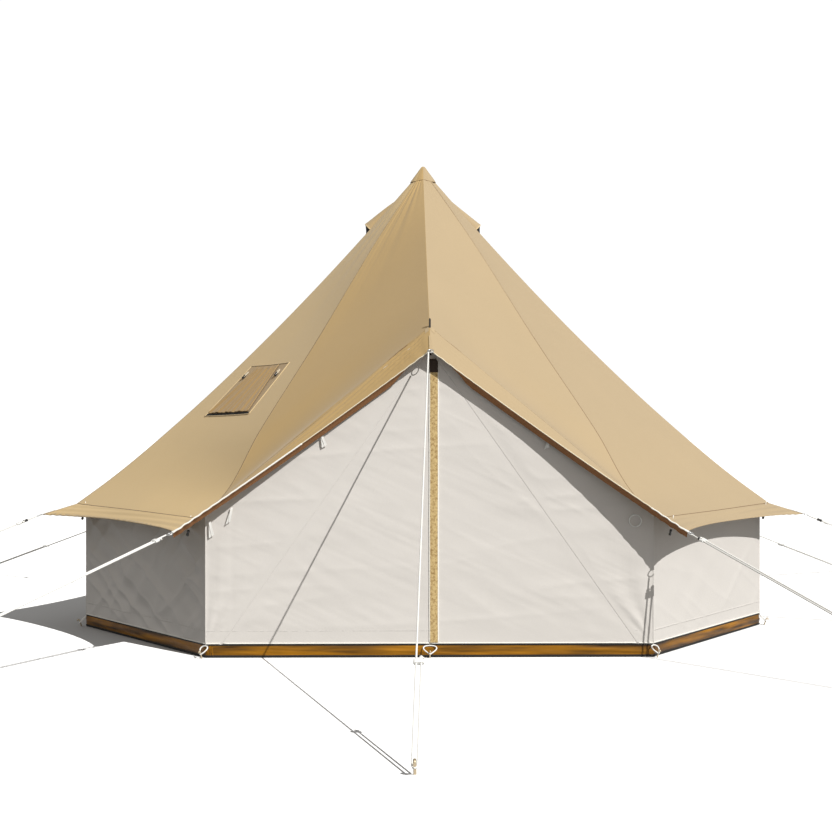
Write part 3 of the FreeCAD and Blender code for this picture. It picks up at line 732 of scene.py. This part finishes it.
for gore, gore_name in enumerate(GORE_NAMES):
    m, radius = (cream_piping, 0.0028) if is_front(gore) else (roof_hem, 0.0022)
    eave_piping(gore, "eave_piping_" + gore_name, m, radius)
eave_piping(FRONT_LEFT, "eave_hem_cord_left", piping, 0.0042, 0.0, 0.50)
eave_piping(FRONT_RIGHT, "eave_hem_cord_right", piping, 0.0036, 0.86, 1.0)


# ---- crown cap ----
def make_cap():
    profile = [(0.001, 2.738), (0.006, 2.7372), (0.011, 2.7335), (0.020, 2.722), (0.036, 2.700),
               (0.055, 2.676), (0.070, 2.657), (0.0745, 2.6515)]
    count = 96
    rows = []
    for k, (r, z) in enumerate(profile):
        row = []
        for i in range(count):
            a = 2 * math.pi * i / count
            share = k / (len(profile) - 1)
            front = max(0.0, -math.cos(a + math.pi)) ** 10
            fold = 1 + 0.006 * share * math.cos(8 * a) + 0.004 * share * math.cos(13 * a + 1.0)
            x, y = r * fold * math.sin(a), -r * fold * math.cos(a)
            row.append((x, y, z - share**3 * 0.009 * (1 - front)))
        rows.append(row)
    points = np.array(rows)
    a = np.linspace(0, 0.46, count)
    uv = np.stack(np.broadcast_arrays(a[None, :], np.linspace(0, 0.12, len(profile))[:, None]), axis=-1)
    cap = grid("crown_cap", points, uv, wrap=True, thickness=0.002)
    dress(cap, roof_cloth, "tent", ["apex_cap"])
    edge_tube("crown_cap_hem", points[-1], 0.0022, roof_seam, closed=True)


make_cap()


# ---- vent hoods ----
HOOD_START, HOOD_LENGTH, HOOD_HALF_WIDTH, HOOD_RISE = 0.118, 0.307, 0.100, 0.075


def hood_point(gore, q, a, inset=0.0):
    """q from 0 at the hood's start to 1 at its lip; a from 0 to pi over the arch."""
    t = HOOD_START + HOOD_LENGTH * q
    x = (HOOD_HALF_WIDTH - inset) * q * np.cos(a)
    lift = 0.001 + (HOOD_RISE - inset) * q * np.power(np.sin(a), 0.75)
    return roof_point(gore, 0.5 + x / gore_width(gore, t), t, lift)


def make_hood(gore, side):
    a = np.linspace(math.pi, 0, 33)[None, :]
    q = np.linspace(0.03, 1.0, 26)[:, None]
    points = hood_point(gore, q, a)
    q_full, a_full = np.broadcast_arrays(q, a)
    uv = np.stack([a_full * 0.05, q_full * HOOD_LENGTH], axis=-1)
    hood = cloth_piece("vent_hood_cloth_" + side, points, uv, roof_cloth,
                       replaces=["vent_hood_" + side])
    lip = [hood_point(gore, 0.978, a[0]), hood_point(gore, 1.002, a[0])]
    out = unit(np.cross(lip[1] - lip[0], np.gradient(lip[0], axis=0)))
    if np.mean(out[:, 2]) < 0:
        out = -out
    hem = np.stack([edge + out * h for edge, h in
                    ((lip[0], 0.0005), (lip[0], 0.0020), (lip[1], 0.0020), (lip[1], -0.0020))])
    dress(grid("vent_hood_hem_" + side, hem), pale_hem, "tent")
    inner = hood_point(gore, 1.0, a[0], 0.003)
    t_foot = HOOD_START + HOOD_LENGTH + 0.065
    base = roof_point(gore, 0.5 + 0.092 * np.cos(a[0]) / gore_width(gore, t_foot), t_foot, 0.003)
    rows = np.stack([base * (1 - k) + inner * k for k in np.linspace(0.02, 1.0, 10)])
    cloth_piece("vent_mesh_" + side, rows, None, black_mesh,
                replaces=["vent_meshes"] if side == "left" else [],
                thickness=0.0005)


make_hood(REAR_LEFT, "left")
make_hood(REAR_RIGHT, "right")


# ---- stove-pipe patch and flap, on the left gore ----
STOVE_MIDDLE, STOVE_SKEW = 0.515, 0.18


def stove_point(a, s, lift):
    """a across the gore from the door's side, s down between its third and fourth points."""
    s = s + STOVE_SKEW * (a - STOVE_MIDDLE)
    return roof_point(LEFT, 1 - a, HIP_AT[2] + (HIP_AT[3] - HIP_AT[2]) * s, lift)


def stove_sheet(name, top, low, s0, s1, lift, m, body, replaces, folds=0.0):
    """A laid sheet, top and low being half of its width at the ends, s0 and s1."""
    v, k = np.meshgrid(np.linspace(-1, 1, 61), np.linspace(0, 1, 41))
    half = top + (low - top) * k
    fold = folds * (np.sin(11.0 * v + 1.5 * k) + 0.8 * np.sin(27.0 * v - 2 * k + 1)) * step(0, 0.1, k)
    points = stove_point(STOVE_MIDDLE + half * v, s0 + (s1 - s0) * k, lift + fold)
    uv = np.stack([v * 0.2, k * 0.4], axis=-1)
    piece = cloth_piece(name, points, uv, m, body=body, replaces=replaces)
    return piece, points


def make_stove():
    patch, p = stove_sheet("stove_patch", 0.28, 0.25, 0.31, 0.88, 0.0025, patch_cloth, "tent",
                           ["stove_jack_patch"])
    for side, path in (("left", p[:, -1]), ("right", p[:, 0]), ("top", p[0]), ("bottom", p[-1])):
        edge_tube("stove_patch_piping_" + side, path, 0.0032, pale_hem)
    # A black sheet below the flap's lower edge paints the shadow that the flap throws on the patch.
    flap_shadow_across = STOVE_MIDDLE + 0.24 * np.linspace(-1, 1, 30)
    flap_shadow = np.stack([stove_point(flap_shadow_across, s, 0.0045) for s in (0.854, 0.874)])
    dress(grid("stove_flap_painted_shadow", flap_shadow, thickness=0.0006), black_cloth, "tent")
    _, f = stove_sheet("stove_flap_cloth", 0.15, 0.225, 0.33, 0.85, 0.0105, stove_cloth, "stove_flap",
                          ["stove_jack_flap"], folds=0.0028)
    for side, path in (("left", f[:, -1]), ("right", f[:, 0]), ("bottom", f[-1])):
        edge_tube("stove_flap_piping_" + side, path, 0.0026, patch_cloth, "stove_flap")
    across = unit(stove_point(0.6, 0.44, 0.01) - stove_point(0.4, 0.44, 0.01))
    for side, place in (("right", STOVE_MIDDLE - 0.225), ("left", STOVE_MIDDLE + 0.225)):
        middle = stove_point(place, 0.44, 0.010)
        down = unit(stove_point(place, 0.54, 0.010) - stove_point(place, 0.34, 0.010))
        make_toggle("stove_toggle_" + side, middle, down, 0.028, 0.0075)
        sweep = np.linspace(0, 2 * math.pi, 24, endpoint=False)
        loop = [middle - down * 0.018 + down * 0.020 * math.cos(w) + across * 0.010 * math.sin(w)
                for w in sweep]
        edge_tube("stove_toggle_loop_" + side, loop, 0.0020, cream_piping, closed=True)


def make_toggle(name, middle, axis, length, radius):
    """A turned toggle, narrowed at its waist and rounded at its ends."""
    middle, axis = np.array(middle), np.array(axis)
    ends = [-1.0, -0.96, -0.85, -0.55, -0.15, 0.15, 0.55, 0.85, 0.96, 1.0]
    radii = [0.25, 0.6, 0.9, 1.0, 0.8, 0.8, 1.0, 0.9, 0.6, 0.25]
    path = [middle + axis * e * length / 2 for e in ends]
    edge_tube(name, path, [radius * r for r in radii], black_plastic, sides=14)


make_stove()


# ---- door wall: fixed cloth at each side, and two leaves ----
def wall_top_line():
    """x and z where the roof meets the door wall's plane, from the ridge to the corner."""
    t = np.linspace(1.2, EAVE_AT, 500)
    xs, zs = [], []
    for u in np.linspace(0, 1, 60):
        p = roof_base(FRONT_RIGHT, u, t)
        at = np.interp(-DOOR_Y, -p[:, 1], t)
        q = roof_base(FRONT_RIGHT, u, np.array([at]))[0]
        xs.append(q[0])
        zs.append(q[2] - 0.006)
    return np.array(xs), np.array(zs)


TOP_X, TOP_Z = wall_top_line()
TOP_X[-1] = DOOR_X
FRONT_HIGH = float(TOP_Z[0])


def seam_x(z):
    return (LEAF_PEAK - z) * LEAF_FOOT_X / LEAF_PEAK


def front_folds(x, z):
    """How far the door wall's cloth stands out, towards the outside."""
    corner = np.exp(-(DOOR_X - np.abs(x)) / 0.10)
    level = np.clip((z - 0.07) / 0.12, 0, 1)
    d = 0.0016 * creases(x, z, 4, 0.9, 0.075, 3) * level
    d = d + 0.0012 * creases(x, z, -38, 0.8, 0.11, 5) * level * np.where(x > 0, 1.0, 0.5)
    d = d + 0.0011 * creases(x, z, 52, 0.7, 0.09, 6) * level * np.where(x > 0, 0.5, 1.0)
    d = d + 0.0030 * corner * noise(x / 0.030 + 40, z / 0.45, 4) * level
    d = d + 0.0012 * np.exp(-np.maximum(z - 0.07, 0) / 0.10) * noise(x / 0.045 + 30, z / 0.3, 8) * level**0.3
    foot_x, foot_z = np.abs(x) - DOOR_X, z - 0.07
    angle, reach = np.arctan2(foot_z, -foot_x + 1e-6), np.hypot(foot_x, foot_z)
    d = d + 0.0028 * np.exp(-reach / 0.35) * np.sin(15 * angle) * step(0.02, 0.12, reach) * level
    d = d + 0.0006 * creases(x, z, -24, 0.35, 0.030, 9) * level
    beside_seam = step(0.0, 0.07, np.abs(np.abs(x) - seam_x(z)))
    return d * step(0.0, 0.06, np.abs(x)) * (1 - 0.75 * corner**3) * beside_seam


def front_point(x, z, lift=0.0):
    x, z = np.broadcast_arrays(np.asarray(x, float), np.asarray(z, float))
    return np.stack([x, DOOR_Y - 0.002 - front_folds(x, z) - lift, z], axis=-1)


def base_cord(name, path, body="tent"):
    """White cord sewn along the bottom edge of the walls."""
    edge_tube(name, path, 0.0030, piping, body)


def wall_hem(name, high, low, body="tent"):
    band(name, high, low, 0.0008, wall_seam, body, "wall_canvas")


def front_sheet(side, x, z):
    """Points and uv of cloth in the door wall, x being measured away from the middle."""
    z = np.broadcast_to(z[:, None], x.shape)
    return front_point(side * x, z), np.stack([side * x, z], axis=-1)


# Columns of the fixed cloth beside the leaf, in metres from its inner edge. They are close at the seam.
SEAM_COLUMNS = np.array([0, 5, 8, 10, 12, 14, 16, 20, 28]) * 0.001


def make_front():
    seam_at_hem = seam_x(0.140)
    for side, word in ((-1, "left"), (1, "right")):
        z = np.concatenate([np.linspace(WALL_LOW, 0.2, 22), np.linspace(0.2, FRONT_HIGH, 150)[1:]])
        outer = np.interp(z, TOP_Z[::-1], TOP_X[::-1])
        seam = np.maximum(seam_x(z), 0)
        inner = np.maximum(seam - 0.018, 0)
        room = np.maximum(outer - inner, 1e-4)[:, None]
        near = inner[:, None] + SEAM_COLUMNS * np.minimum(1, room / 0.06)
        share = np.linspace(0, 1, 44)[None, 1:]
        x = np.concatenate([near, near[:, -1:] * (1 - share) + outer[:, None] * share], axis=1)
        points, uv = front_sheet(side, x, z)
        behind = 1 - step(-0.010, -0.003, x - seam[:, None])
        points[..., 1] += 0.0034 * behind * (seam[:, None] > 0.001)
        cloth_piece("door_wall_" + word, points, uv, wall_cloth,
                    replaces=["front_wall_" + word], offset=side)
        z = np.linspace(0.069, LEAF_TOP, 150)
        points, uv = front_sheet(side, (seam_x(z) - LEAF_GAP)[:, None] * np.linspace(0, 1, 56), z)
        body = word + "_door"
        cloth_piece("door_leaf_" + word, points, uv, wall_cloth, body=body,
                    replaces=[word + "_door_leaf"],
                    offset=side)
        # The seam leans outward, so the cord below the hem meets it farther out.
        for owner, name, x0, x1, cord0, cord1 in (
                (body, "leaf", 0.004, seam_at_hem - 0.010, 0.004, seam_at_hem + 0.035),
                ("tent", "wall", seam_at_hem + 0.004, DOOR_X, seam_at_hem + 0.052, DOOR_X)):
            x = side * np.linspace(x0, x1, 60)
            wall_hem("door_%s_hem_%s" % (name, word), front_point(x, HEM_LOW, 0.0004),
                     front_point(x, HEM_HIGH, 0.0004), owner)
            x = side * np.linspace(cord0, cord1, 60)
            base_cord("door_%s_cord_%s" % (name, word), front_point(x, CORD_HEIGHT, 0.0026), owner)


make_front()


# ---- side walls ----
def hip_height(line):
    """Height of a hip over the wall's corner."""
    p = line_at(line, np.linspace(2.4, SEAM_AT, 200))
    return float(np.interp(RADIUS, np.hypot(p[:, 0], p[:, 1]), p[:, 2]))


CORNER_TOPS = [hip_height(line) - 0.010 for line in (7, 6, 5, 4, 3, 2, 1)]


def wall_folds(index, s, z, width):
    edge = np.minimum(s, width - s)
    strength = 8.0 if index == 0 else 1.2
    level = np.clip((z - 0.07) / 0.12, 0, 1)
    d = 0.0015 * strength * creases(s + index, z, 24, 0.8, 0.085, 11 + index)
    d = d + 0.0015 * strength * creases(s + index, z, -35, 0.7, 0.10, 21 + index)
    d = d + 0.0026 * np.exp(-edge / 0.09) * noise(edge / 0.026 + 50, z / 0.4, 61 + index)
    d = d + 0.0012 * np.exp(-np.maximum(WALL_HIGH - z, 0) / 0.08) * noise(s / 0.05, z + 5, 31 + index)
    d = d + 0.0012 * np.exp(-np.maximum(z - 0.07, 0) / 0.08) * noise(s / 0.05, z + 9, 41 + index)
    if index == 0:
        set_in = 1 - np.exp(-np.maximum(z - 0.07, 0) / 0.075)
        d = d - 0.012 * set_in * (1 - step(0.40, 0.70, z)) * step(0.0, 0.25, edge)
        p, q = (s - 1.02) * 0.64 + (z - 0.34) * 0.77, -(s - 1.02) * 0.77 + (z - 0.34) * 0.64
        d = d + 0.016 * np.exp(-(p / 0.055) ** 2 - (q / 0.16) ** 2)
    return d * level**0.4 * step(0.0, 0.12 if index == 0 else 0.03, edge) + 0.0004


def wall_point(index, v, z, lift=0.0):
    v, z = np.broadcast_arrays(np.asarray(v, float), np.asarray(z, float))
    a, b = np.array(polar(C[index], RADIUS + 0.002, 0)), np.array(polar(C[index + 1], RADIUS + 0.002, 0))
    width = np.linalg.norm(b - a)
    out = unit(np.array([a[0] + b[0], a[1] + b[1], 0.0]))
    stand_out = wall_folds(index, v * width, z, width) + lift
    p = a * (1 - v[..., None]) + b * v[..., None] + out * stand_out[..., None]
    p[..., 2] = z
    return p


def make_walls():
    for index, name in enumerate(WALL_NAMES):
        z = np.concatenate([np.linspace(WALL_LOW, 0.2, 20), np.linspace(0.2, WALL_HIGH, 60)[1:]])
        v, z = np.meshgrid(np.linspace(0, 1, 110), z)
        high = CORNER_TOPS[index] * (1 - v) + CORNER_TOPS[index + 1] * v
        z = WALL_LOW + (z - WALL_LOW) * (high - WALL_LOW) / (WALL_HIGH - WALL_LOW)
        uv = np.stack([v * 1.634, z], axis=-1)
        cloth_piece("wall_cloth_" + name, wall_point(index, v, z), uv, wall_cloth,
                    replaces=["wall_" + name], offset=1.0)
        v = np.linspace(0.003, 0.997, 90)
        wall_hem("wall_hem_" + name, wall_point(index, v, HEM_LOW, 0.0004),
                 wall_point(index, v, HEM_HIGH, 0.0004))
        base_cord("wall_cord_" + name, wall_point(index, v, CORD_HEIGHT, 0.0022))
    for i, azimuth in enumerate(C):
        heights = np.linspace(0.064, CORNER_TOPS[i] - 0.004, 30)
        path = [polar(azimuth, RADIUS + 0.0030, z) for z in heights]
        edge_tube("wall_corner_seam_%d" % i, path, 0.0030, wall_cloth)


make_walls()


# ---- raised edge of the groundsheet, and the groundsheet ----
def outline_points(radius, per_side):
    """Points round the seven walls, and their distance along the outline."""
    points, length = [], []
    start = 0.0
    for i in range(7):
        a, b = np.array(polar(C[i], radius, 0)), np.array(polar(C[(i + 1) % 7], radius, 0))
        width = np.linalg.norm(b - a)
        for k in range(per_side):
            points.append(a + (b - a) * k / per_side)
            length.append(start + width * k / per_side)
        start += width
    return np.array(points), np.array(length)


def make_tub():
    points, s = outline_points(RADIUS, 60)
    out = unit(points * [1, 1, 0])
    rows, uvs = [], []
    for z in np.linspace(0.0015, 0.0665, 16):
        w = (z - 0.0015) / 0.065
        swell = math.sin(math.pi * w)
        d = 0.0035 * swell * (1 + noise(s / 0.35, 0.5 + 1.2 * w, 51))
        d = d + 0.0022 * swell * creases(s, np.full_like(s, z), 3, 0.5, 0.018, 52)
        d = d + 0.0010 * swell * noise(s / 0.03, w * 2 + 3, 53)
        row = points + out * d[:, None]
        row[:, 2] = z
        rows.append(row)
        uvs.append(np.stack([s, np.full_like(s, z)], axis=-1))
    cloth_piece("tub_edge", np.array(rows), np.array(uvs), tub_pvc,
                replaces=["tub_sides"],
                thickness=0.0008, wrap=True)
    for name, z, r in (("tub_top_binding", 0.0640, 0.0036), ("tub_bottom_binding", 0.0062, 0.0060)):
        line = points + out * 0.0010
        line[:, 2] = z
        edge_tube(name, line, r, black_cloth, closed=True)


def make_floor():
    edge = outline_points(RADIUS - 0.006, 24)[0]
    rows = []
    for share in np.linspace(1.0, 0.0, 30)[:-1] ** 0.8:
        row = edge * share
        row[:, 2] = 0.0014 + 0.0007 * noise(row[:, 0] * 4 + 30, row[:, 1] * 4 + 30, 61)
        rows.append(row)
    rows = np.array(rows)
    cloth_piece("groundsheet_floor", rows, rows[..., :2], floor_pvc,
                replaces=["groundsheet"], thickness=0.0, wrap=True)


make_floor()
make_tub()


# ---- storm strip over the door's zip ----
def make_strip():
    z = np.linspace(LEAF_LOW + 0.004, 1.540, 150)
    share, z_all = np.meshgrid(np.linspace(0, 1, 13), z)
    x_all = -0.002 + share * (np.minimum(0.042, seam_x(z_all) - 0.010) + 0.002)
    arch = np.clip(np.sin(math.pi * share), 0, 1)
    puff = 0.0020 * arch**0.5
    quilt = 0.0008 * creases(x_all, z_all, 62, 0.12, 0.018, 71) * arch
    points = np.stack([x_all, DOOR_Y - 0.0062 - puff - quilt, z_all], axis=-1)
    points[..., 0] += 0.0010 * noise(z_all / 0.12, 0.5, 72)
    uv = np.stack([x_all, z_all], axis=-1)
    cloth_piece("storm_strip_cloth", points, uv, strip_cloth, body="right_door",
                replaces=["storm_strip"],
                thickness=0.0010, offset=1.0)
    for side, column in (("left", 0), ("right", -1)):
        edge_tube("storm_strip_piping_" + side, points[:, column], 0.0028, piping, "right_door")
    # A near-black sheet over the strip's top paints the shadow that falls there under the eave.
    top = points[z > 1.465] + [0, -0.0022, 0.0006]
    dress(grid("storm_strip_painted_shadow_top", top, thickness=0.0008, offset=1.0), strip_top_painted_shadow, "right_door")
    tape = [[(0.002, DOOR_Y + 0.0006, h), (0.018, DOOR_Y + 0.0006, h)] for h in z]
    dress(grid("door_zip_tape", np.array(tape), thickness=0.0008), black_cloth, "right_door")


make_strip()


# ---- facing under the front eave: a dark strip that paints the shade on the eave's underside and on the wall below it ----
FACING_START = 0.085              # share of the eave from its peak that stays bare


def make_facing():
    for gore, word in ((FRONT_RIGHT, "right"), (FRONT_LEFT, "left")):
        from_peak = np.linspace(FACING_START, 1.0, 110)
        u = from_peak if gore == FRONT_RIGHT else 1 - from_peak
        line = roof_point(gore, u, EAVE_AT)
        drop = 0.006 + 0.032 * step(FACING_START, 0.16, from_peak) * (1 - 0.25 * from_peak)
        rows = []
        for k in (0.0, 0.35, 0.7, 1.0):
            row = line.copy()
            row[:, 1] += 0.006 + 1.16 * drop * k
            row[:, 2] -= 0.001 + drop * k
            rows.append(row)
        uv = np.stack(np.broadcast_arrays(u[None, :] * 1.6, np.linspace(0, 0.04, 4)[:, None]), axis=-1)
        cloth_piece("eave_facing_" + word, np.array(rows), uv, painted_shade_facing,
                    thickness=0.0008)


make_facing()


# ---- patch round the spike on the ridge ----
def make_spike_patch():
    t = np.linspace(SEAM_AT - 0.035, SEAM_AT + 0.03, 12)
    for gore, u0, u1, word in ((FRONT_RIGHT, 0.004, 0.020, "right"), (FRONT_LEFT, 0.980, 0.996, "left")):
        points = roof_point(gore, *np.meshgrid(np.linspace(u0, u1, 6), t), 0.0022)
        dress(grid("spike_patch_" + word, points, thickness=0.0008), roof_hem, "tent")


make_spike_patch()


# ---- straps and beads at the eave's tips ----
BEADS = ("front_right", "left", "right", "rear_right", "rear_left")     # tips whose guy carries a bead


def make_tips():
    for index, name in enumerate(TIP_NAMES):
        _, ring, _, _, along, across = guy_route(name)
        ring_centre, along, across = np.array(ring), np.array(along), np.array(across)
        t = np.linspace(EAVE_AT - (0.075 if index else 0.12), EAVE_AT, 12)
        on_roof = line_at(index, t)
        end = ring_centre - along * (RING_RADIUS - 0.001)
        path = np.concatenate([on_roof, [on_roof[-1] * 0.4 + end * 0.6], [end]])
        lift = np.full(len(path), 0.0048)
        lift[-1] = 0.0
        lift[-2] = 0.002
        path = path + np.array([0, 0, 1.0]) * lift[:, None]
        half = 0.0075 if index else 0.0060
        rows = np.stack([path - across * half, path, path + across * half], axis=1)
        strap = grid("tip_strap_" + name, rows, thickness=0.0016)
        dress(strap, webbing if index else roof_hem, "tent")
        if name in BEADS:
            centre = ring_centre + along * 0.085 + across * STRAND_OFFSET
            make_toggle("guy_bead_" + name, centre, along, 0.030, 0.0085)


make_tips()


# ---- loops on the groundsheet's edge ----
def make_base_loops():
    middle = RADIUS * math.cos(math.radians(DOOR_HALF_ANGLE))
    places = [(a, RADIUS) for a in C] + [(0.0, middle)]
    pieces = []
    for azimuth, radius in places:
        outward, sideways = np.array(polar(azimuth, 1, 0)), np.array(polar(azimuth + 90, 1, 0))
        hold = outward * (radius + 0.027 + 0.0124) + np.array([0, 0, 0.036 - 0.0157])
        wide = 0.042 if azimuth == 0.0 else 0.024
        side_points = []
        for w in np.linspace(0, 2 * math.pi, 40, endpoint=False):
            k = (1 + math.cos(w)) / 2
            spread = math.sin(w) * (wide * k**0.8 + 0.006)
            point = hold + outward * 0.004 + (outward * (-0.0385) + np.array([0, 0, 0.040])) * k
            side_points.append(point + sideways * spread)
        pieces.append(tube("loop", side_points, 0.0036, 8, closed=True))
    dress(joined("base_webbing_loops", pieces), webbing, "tent", ["base_loops"])


make_base_loops()


# ---- ties and toggles under the eaves ----
def make_tie(name, top, length, lean):
    """A tape folded in two, hanging from the wall's top edge with its legs a little apart."""
    legs = []
    for sign, share in ((-1, 1.0), (1, 0.86)):
        k = np.linspace(0, 1, 16)
        x = top[0] + lean * k + sign * 0.008 * k**1.5
        y = top[1] - 0.0015 - 0.0012 * (sign + 1) - 0.004 * np.sin(math.pi * k)
        z = top[2] - length * share * k
        rows = [np.stack([x + side * 0.0060, y - 0.001 * abs(side), z + 0.003 * side * k], axis=-1)
                for side in (-1, 0, 1)]
        legs.append(grid("leg", np.stack(rows, axis=1)))
    thicken(dress(joined(name, legs), webbing, "tent"), 0.0014)


TIES = [("tie_corner_left", -1.135, 0.705, 0.085, 0.010), ("tie_low_left", -1.020, 0.775, 0.085, -0.020),
        ("tie_high_left", -0.560, 1.155, 0.070, 0.016), ("tie_high_right", 0.610, 1.120, 0.045, -0.008)]


def make_ties():
    y = DOOR_Y - 0.012
    for name, x, z, length, lean in TIES:
        make_tie(name, (x, y, z), length, lean)
    sweep = np.linspace(0, 2 * math.pi, 40, endpoint=False)
    ring = [(1.062 + 0.031 * math.cos(w), y, 0.705 + 0.031 * math.sin(w)) for w in sweep]
    ring = tube("tie_ring", ring, 0.0035, 10, closed=True)
    dress(ring, white_plastic, "tent", ["ties_and_toggles"])
    for side, word in ((-1, "left"), (1, "right")):
        places = ((DOOR_HALF_ANGLE + 3.0, 0.640), (DOOR_HALF_ANGLE + SIDE_STEP - 2.5, 0.648))
        for number, (azimuth, z) in enumerate(places):
            centre = polar(side * azimuth, 2.022, z)
            name = "%s_%d" % (word, number)
            make_toggle("wall_toggle_" + name, centre, Vector((0.25, 0, 1)).normalized(), 0.034, 0.0075)
            cord = [np.array(centre) + [0.004 + 0.002 * k, 0, 0.012 + 0.0130 * k] for k in range(7)]
            edge_tube("wall_toggle_cord_" + name, cord, 0.0022, webbing)


make_ties()


# ---- hard CAD pieces get their materials ----
def paint(m, slot, *names):
    for name in names:
        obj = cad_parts[name]
        obj.data.materials.clear()
        obj.data.materials.append(m)


paint(steel, "pole_steel", "centre_pole_lower", "centre_pole_middle", "centre_pole_upper", "crown_plate",
      "door_frame_leg_left", "door_frame_leg_right", "guy_rings")
paint(dark_steel, "pole_steel", "door_frame_peak")
paint(rubber, "foot_rubber", "centre_pole_foot", "door_frame_feet")
paint(peg_steel, "peg_steel", "guy_pegs", "base_pegs")
paint(zip_brass, "zip_metal", "door_zip_slider", "left_hem_zip_slider", "right_hem_zip_slider")
paint(white_plastic, "runner_plastic", *["guy_runner_" + n for n in GUYS])


# ---- floor and lights ----
FLOOR_HALF, FLOOR_Z = 60, -0.0015
corners = [(x * FLOOR_HALF, y * FLOOR_HALF, FLOOR_Z) for x, y in ((-1, -1), (1, -1), (1, 1), (-1, 1))]
floor = object_from("floor", corners, [(0, 1, 2, 3)], smooth=False)
floor.data.materials.append(material("floor", (0.46, 0.46, 0.465), 0.95))
floor.visible_diffuse = False

world = bpy.data.worlds.new("world")
world.use_nodes = True
bpy.context.scene.world = world


def fit_range(value, low, high, to_low=0.0, to_high=1.0):
    """Maps a value between two bounds to a new range."""
    made = node(world, "ShaderNodeMapRange", Value=value, From_Min=low, From_Max=high,
                To_Min=to_low, To_Max=to_high)
    return made.outputs["Result"]


direction = node(world, "ShaderNodeTexCoord").outputs["Generated"]
height = node(world, "ShaderNodeSeparateXYZ", Vector=direction).outputs["Z"]
sky = fit_range(height, -0.2, 1.0, 0.16, 0.62)
# The sunlit ground in front throws light back at the door's side.
toward = node(world, "ShaderNodeVectorMath", Vector=direction)
toward.operation = "DOT_PRODUCT"
toward.inputs[1].default_value = (0.50, -0.87, 0.0)
forward = fit_range(toward.outputs["Value"], 0.35, 1.0, 0.0, 0.34)
glow = math_node(world, "MULTIPLY", forward, fit_range(height, 0.35, 0.0))
background = world.node_tree.nodes["Background"]
feed(world, background.inputs["Color"], (*SUNLIGHT, 1.0))
feed(world, background.inputs["Strength"], math_node(world, "ADD", glow, sky))
# The camera sees a plain white sky.
white_sky = node(world, "ShaderNodeBackground", Color=(1.0, 1.0, 1.0, 1.0), Strength=1.05)
chosen = world.node_tree.nodes.new("ShaderNodeMixShader")
feed(world, chosen.inputs[0], node(world, "ShaderNodeLightPath").outputs["Is Camera Ray"])
feed(world, chosen.inputs[1], background.outputs[0])
feed(world, chosen.inputs[2], white_sky.outputs[0])
feed(world, world.node_tree.nodes["World Output"].inputs[0], chosen.outputs[0])

sun_data = bpy.data.lights.new("sun", "SUN")
sun_data.energy = 1.2 * math.pi
sun_data.angle = math.radians(0.3)
sun_data.color = SUNLIGHT
sun = bpy.data.objects.new("sun", sun_data)
to_sun = Vector((0.755, -1.0, 1.0))
sun.rotation_euler = to_sun.to_track_quat("Z", "Y").to_euler()
bpy.context.scene.collection.objects.link(sun)
# A second sun from the same side reaches only the floor, so that it is white where it is lit.
floor_sun = bpy.data.objects.new("floor_sun", sun_data.copy())
floor_sun.data.energy = 2.6 * math.pi
floor_sun.rotation_euler = sun.rotation_euler
bpy.context.scene.collection.objects.link(floor_sun)
only_floor = bpy.data.collections.new("only_floor")
only_floor.objects.link(floor)
floor_sun.light_linking.receiver_collection = only_floor
bpy.context.scene.view_settings.view_transform = "Standard"
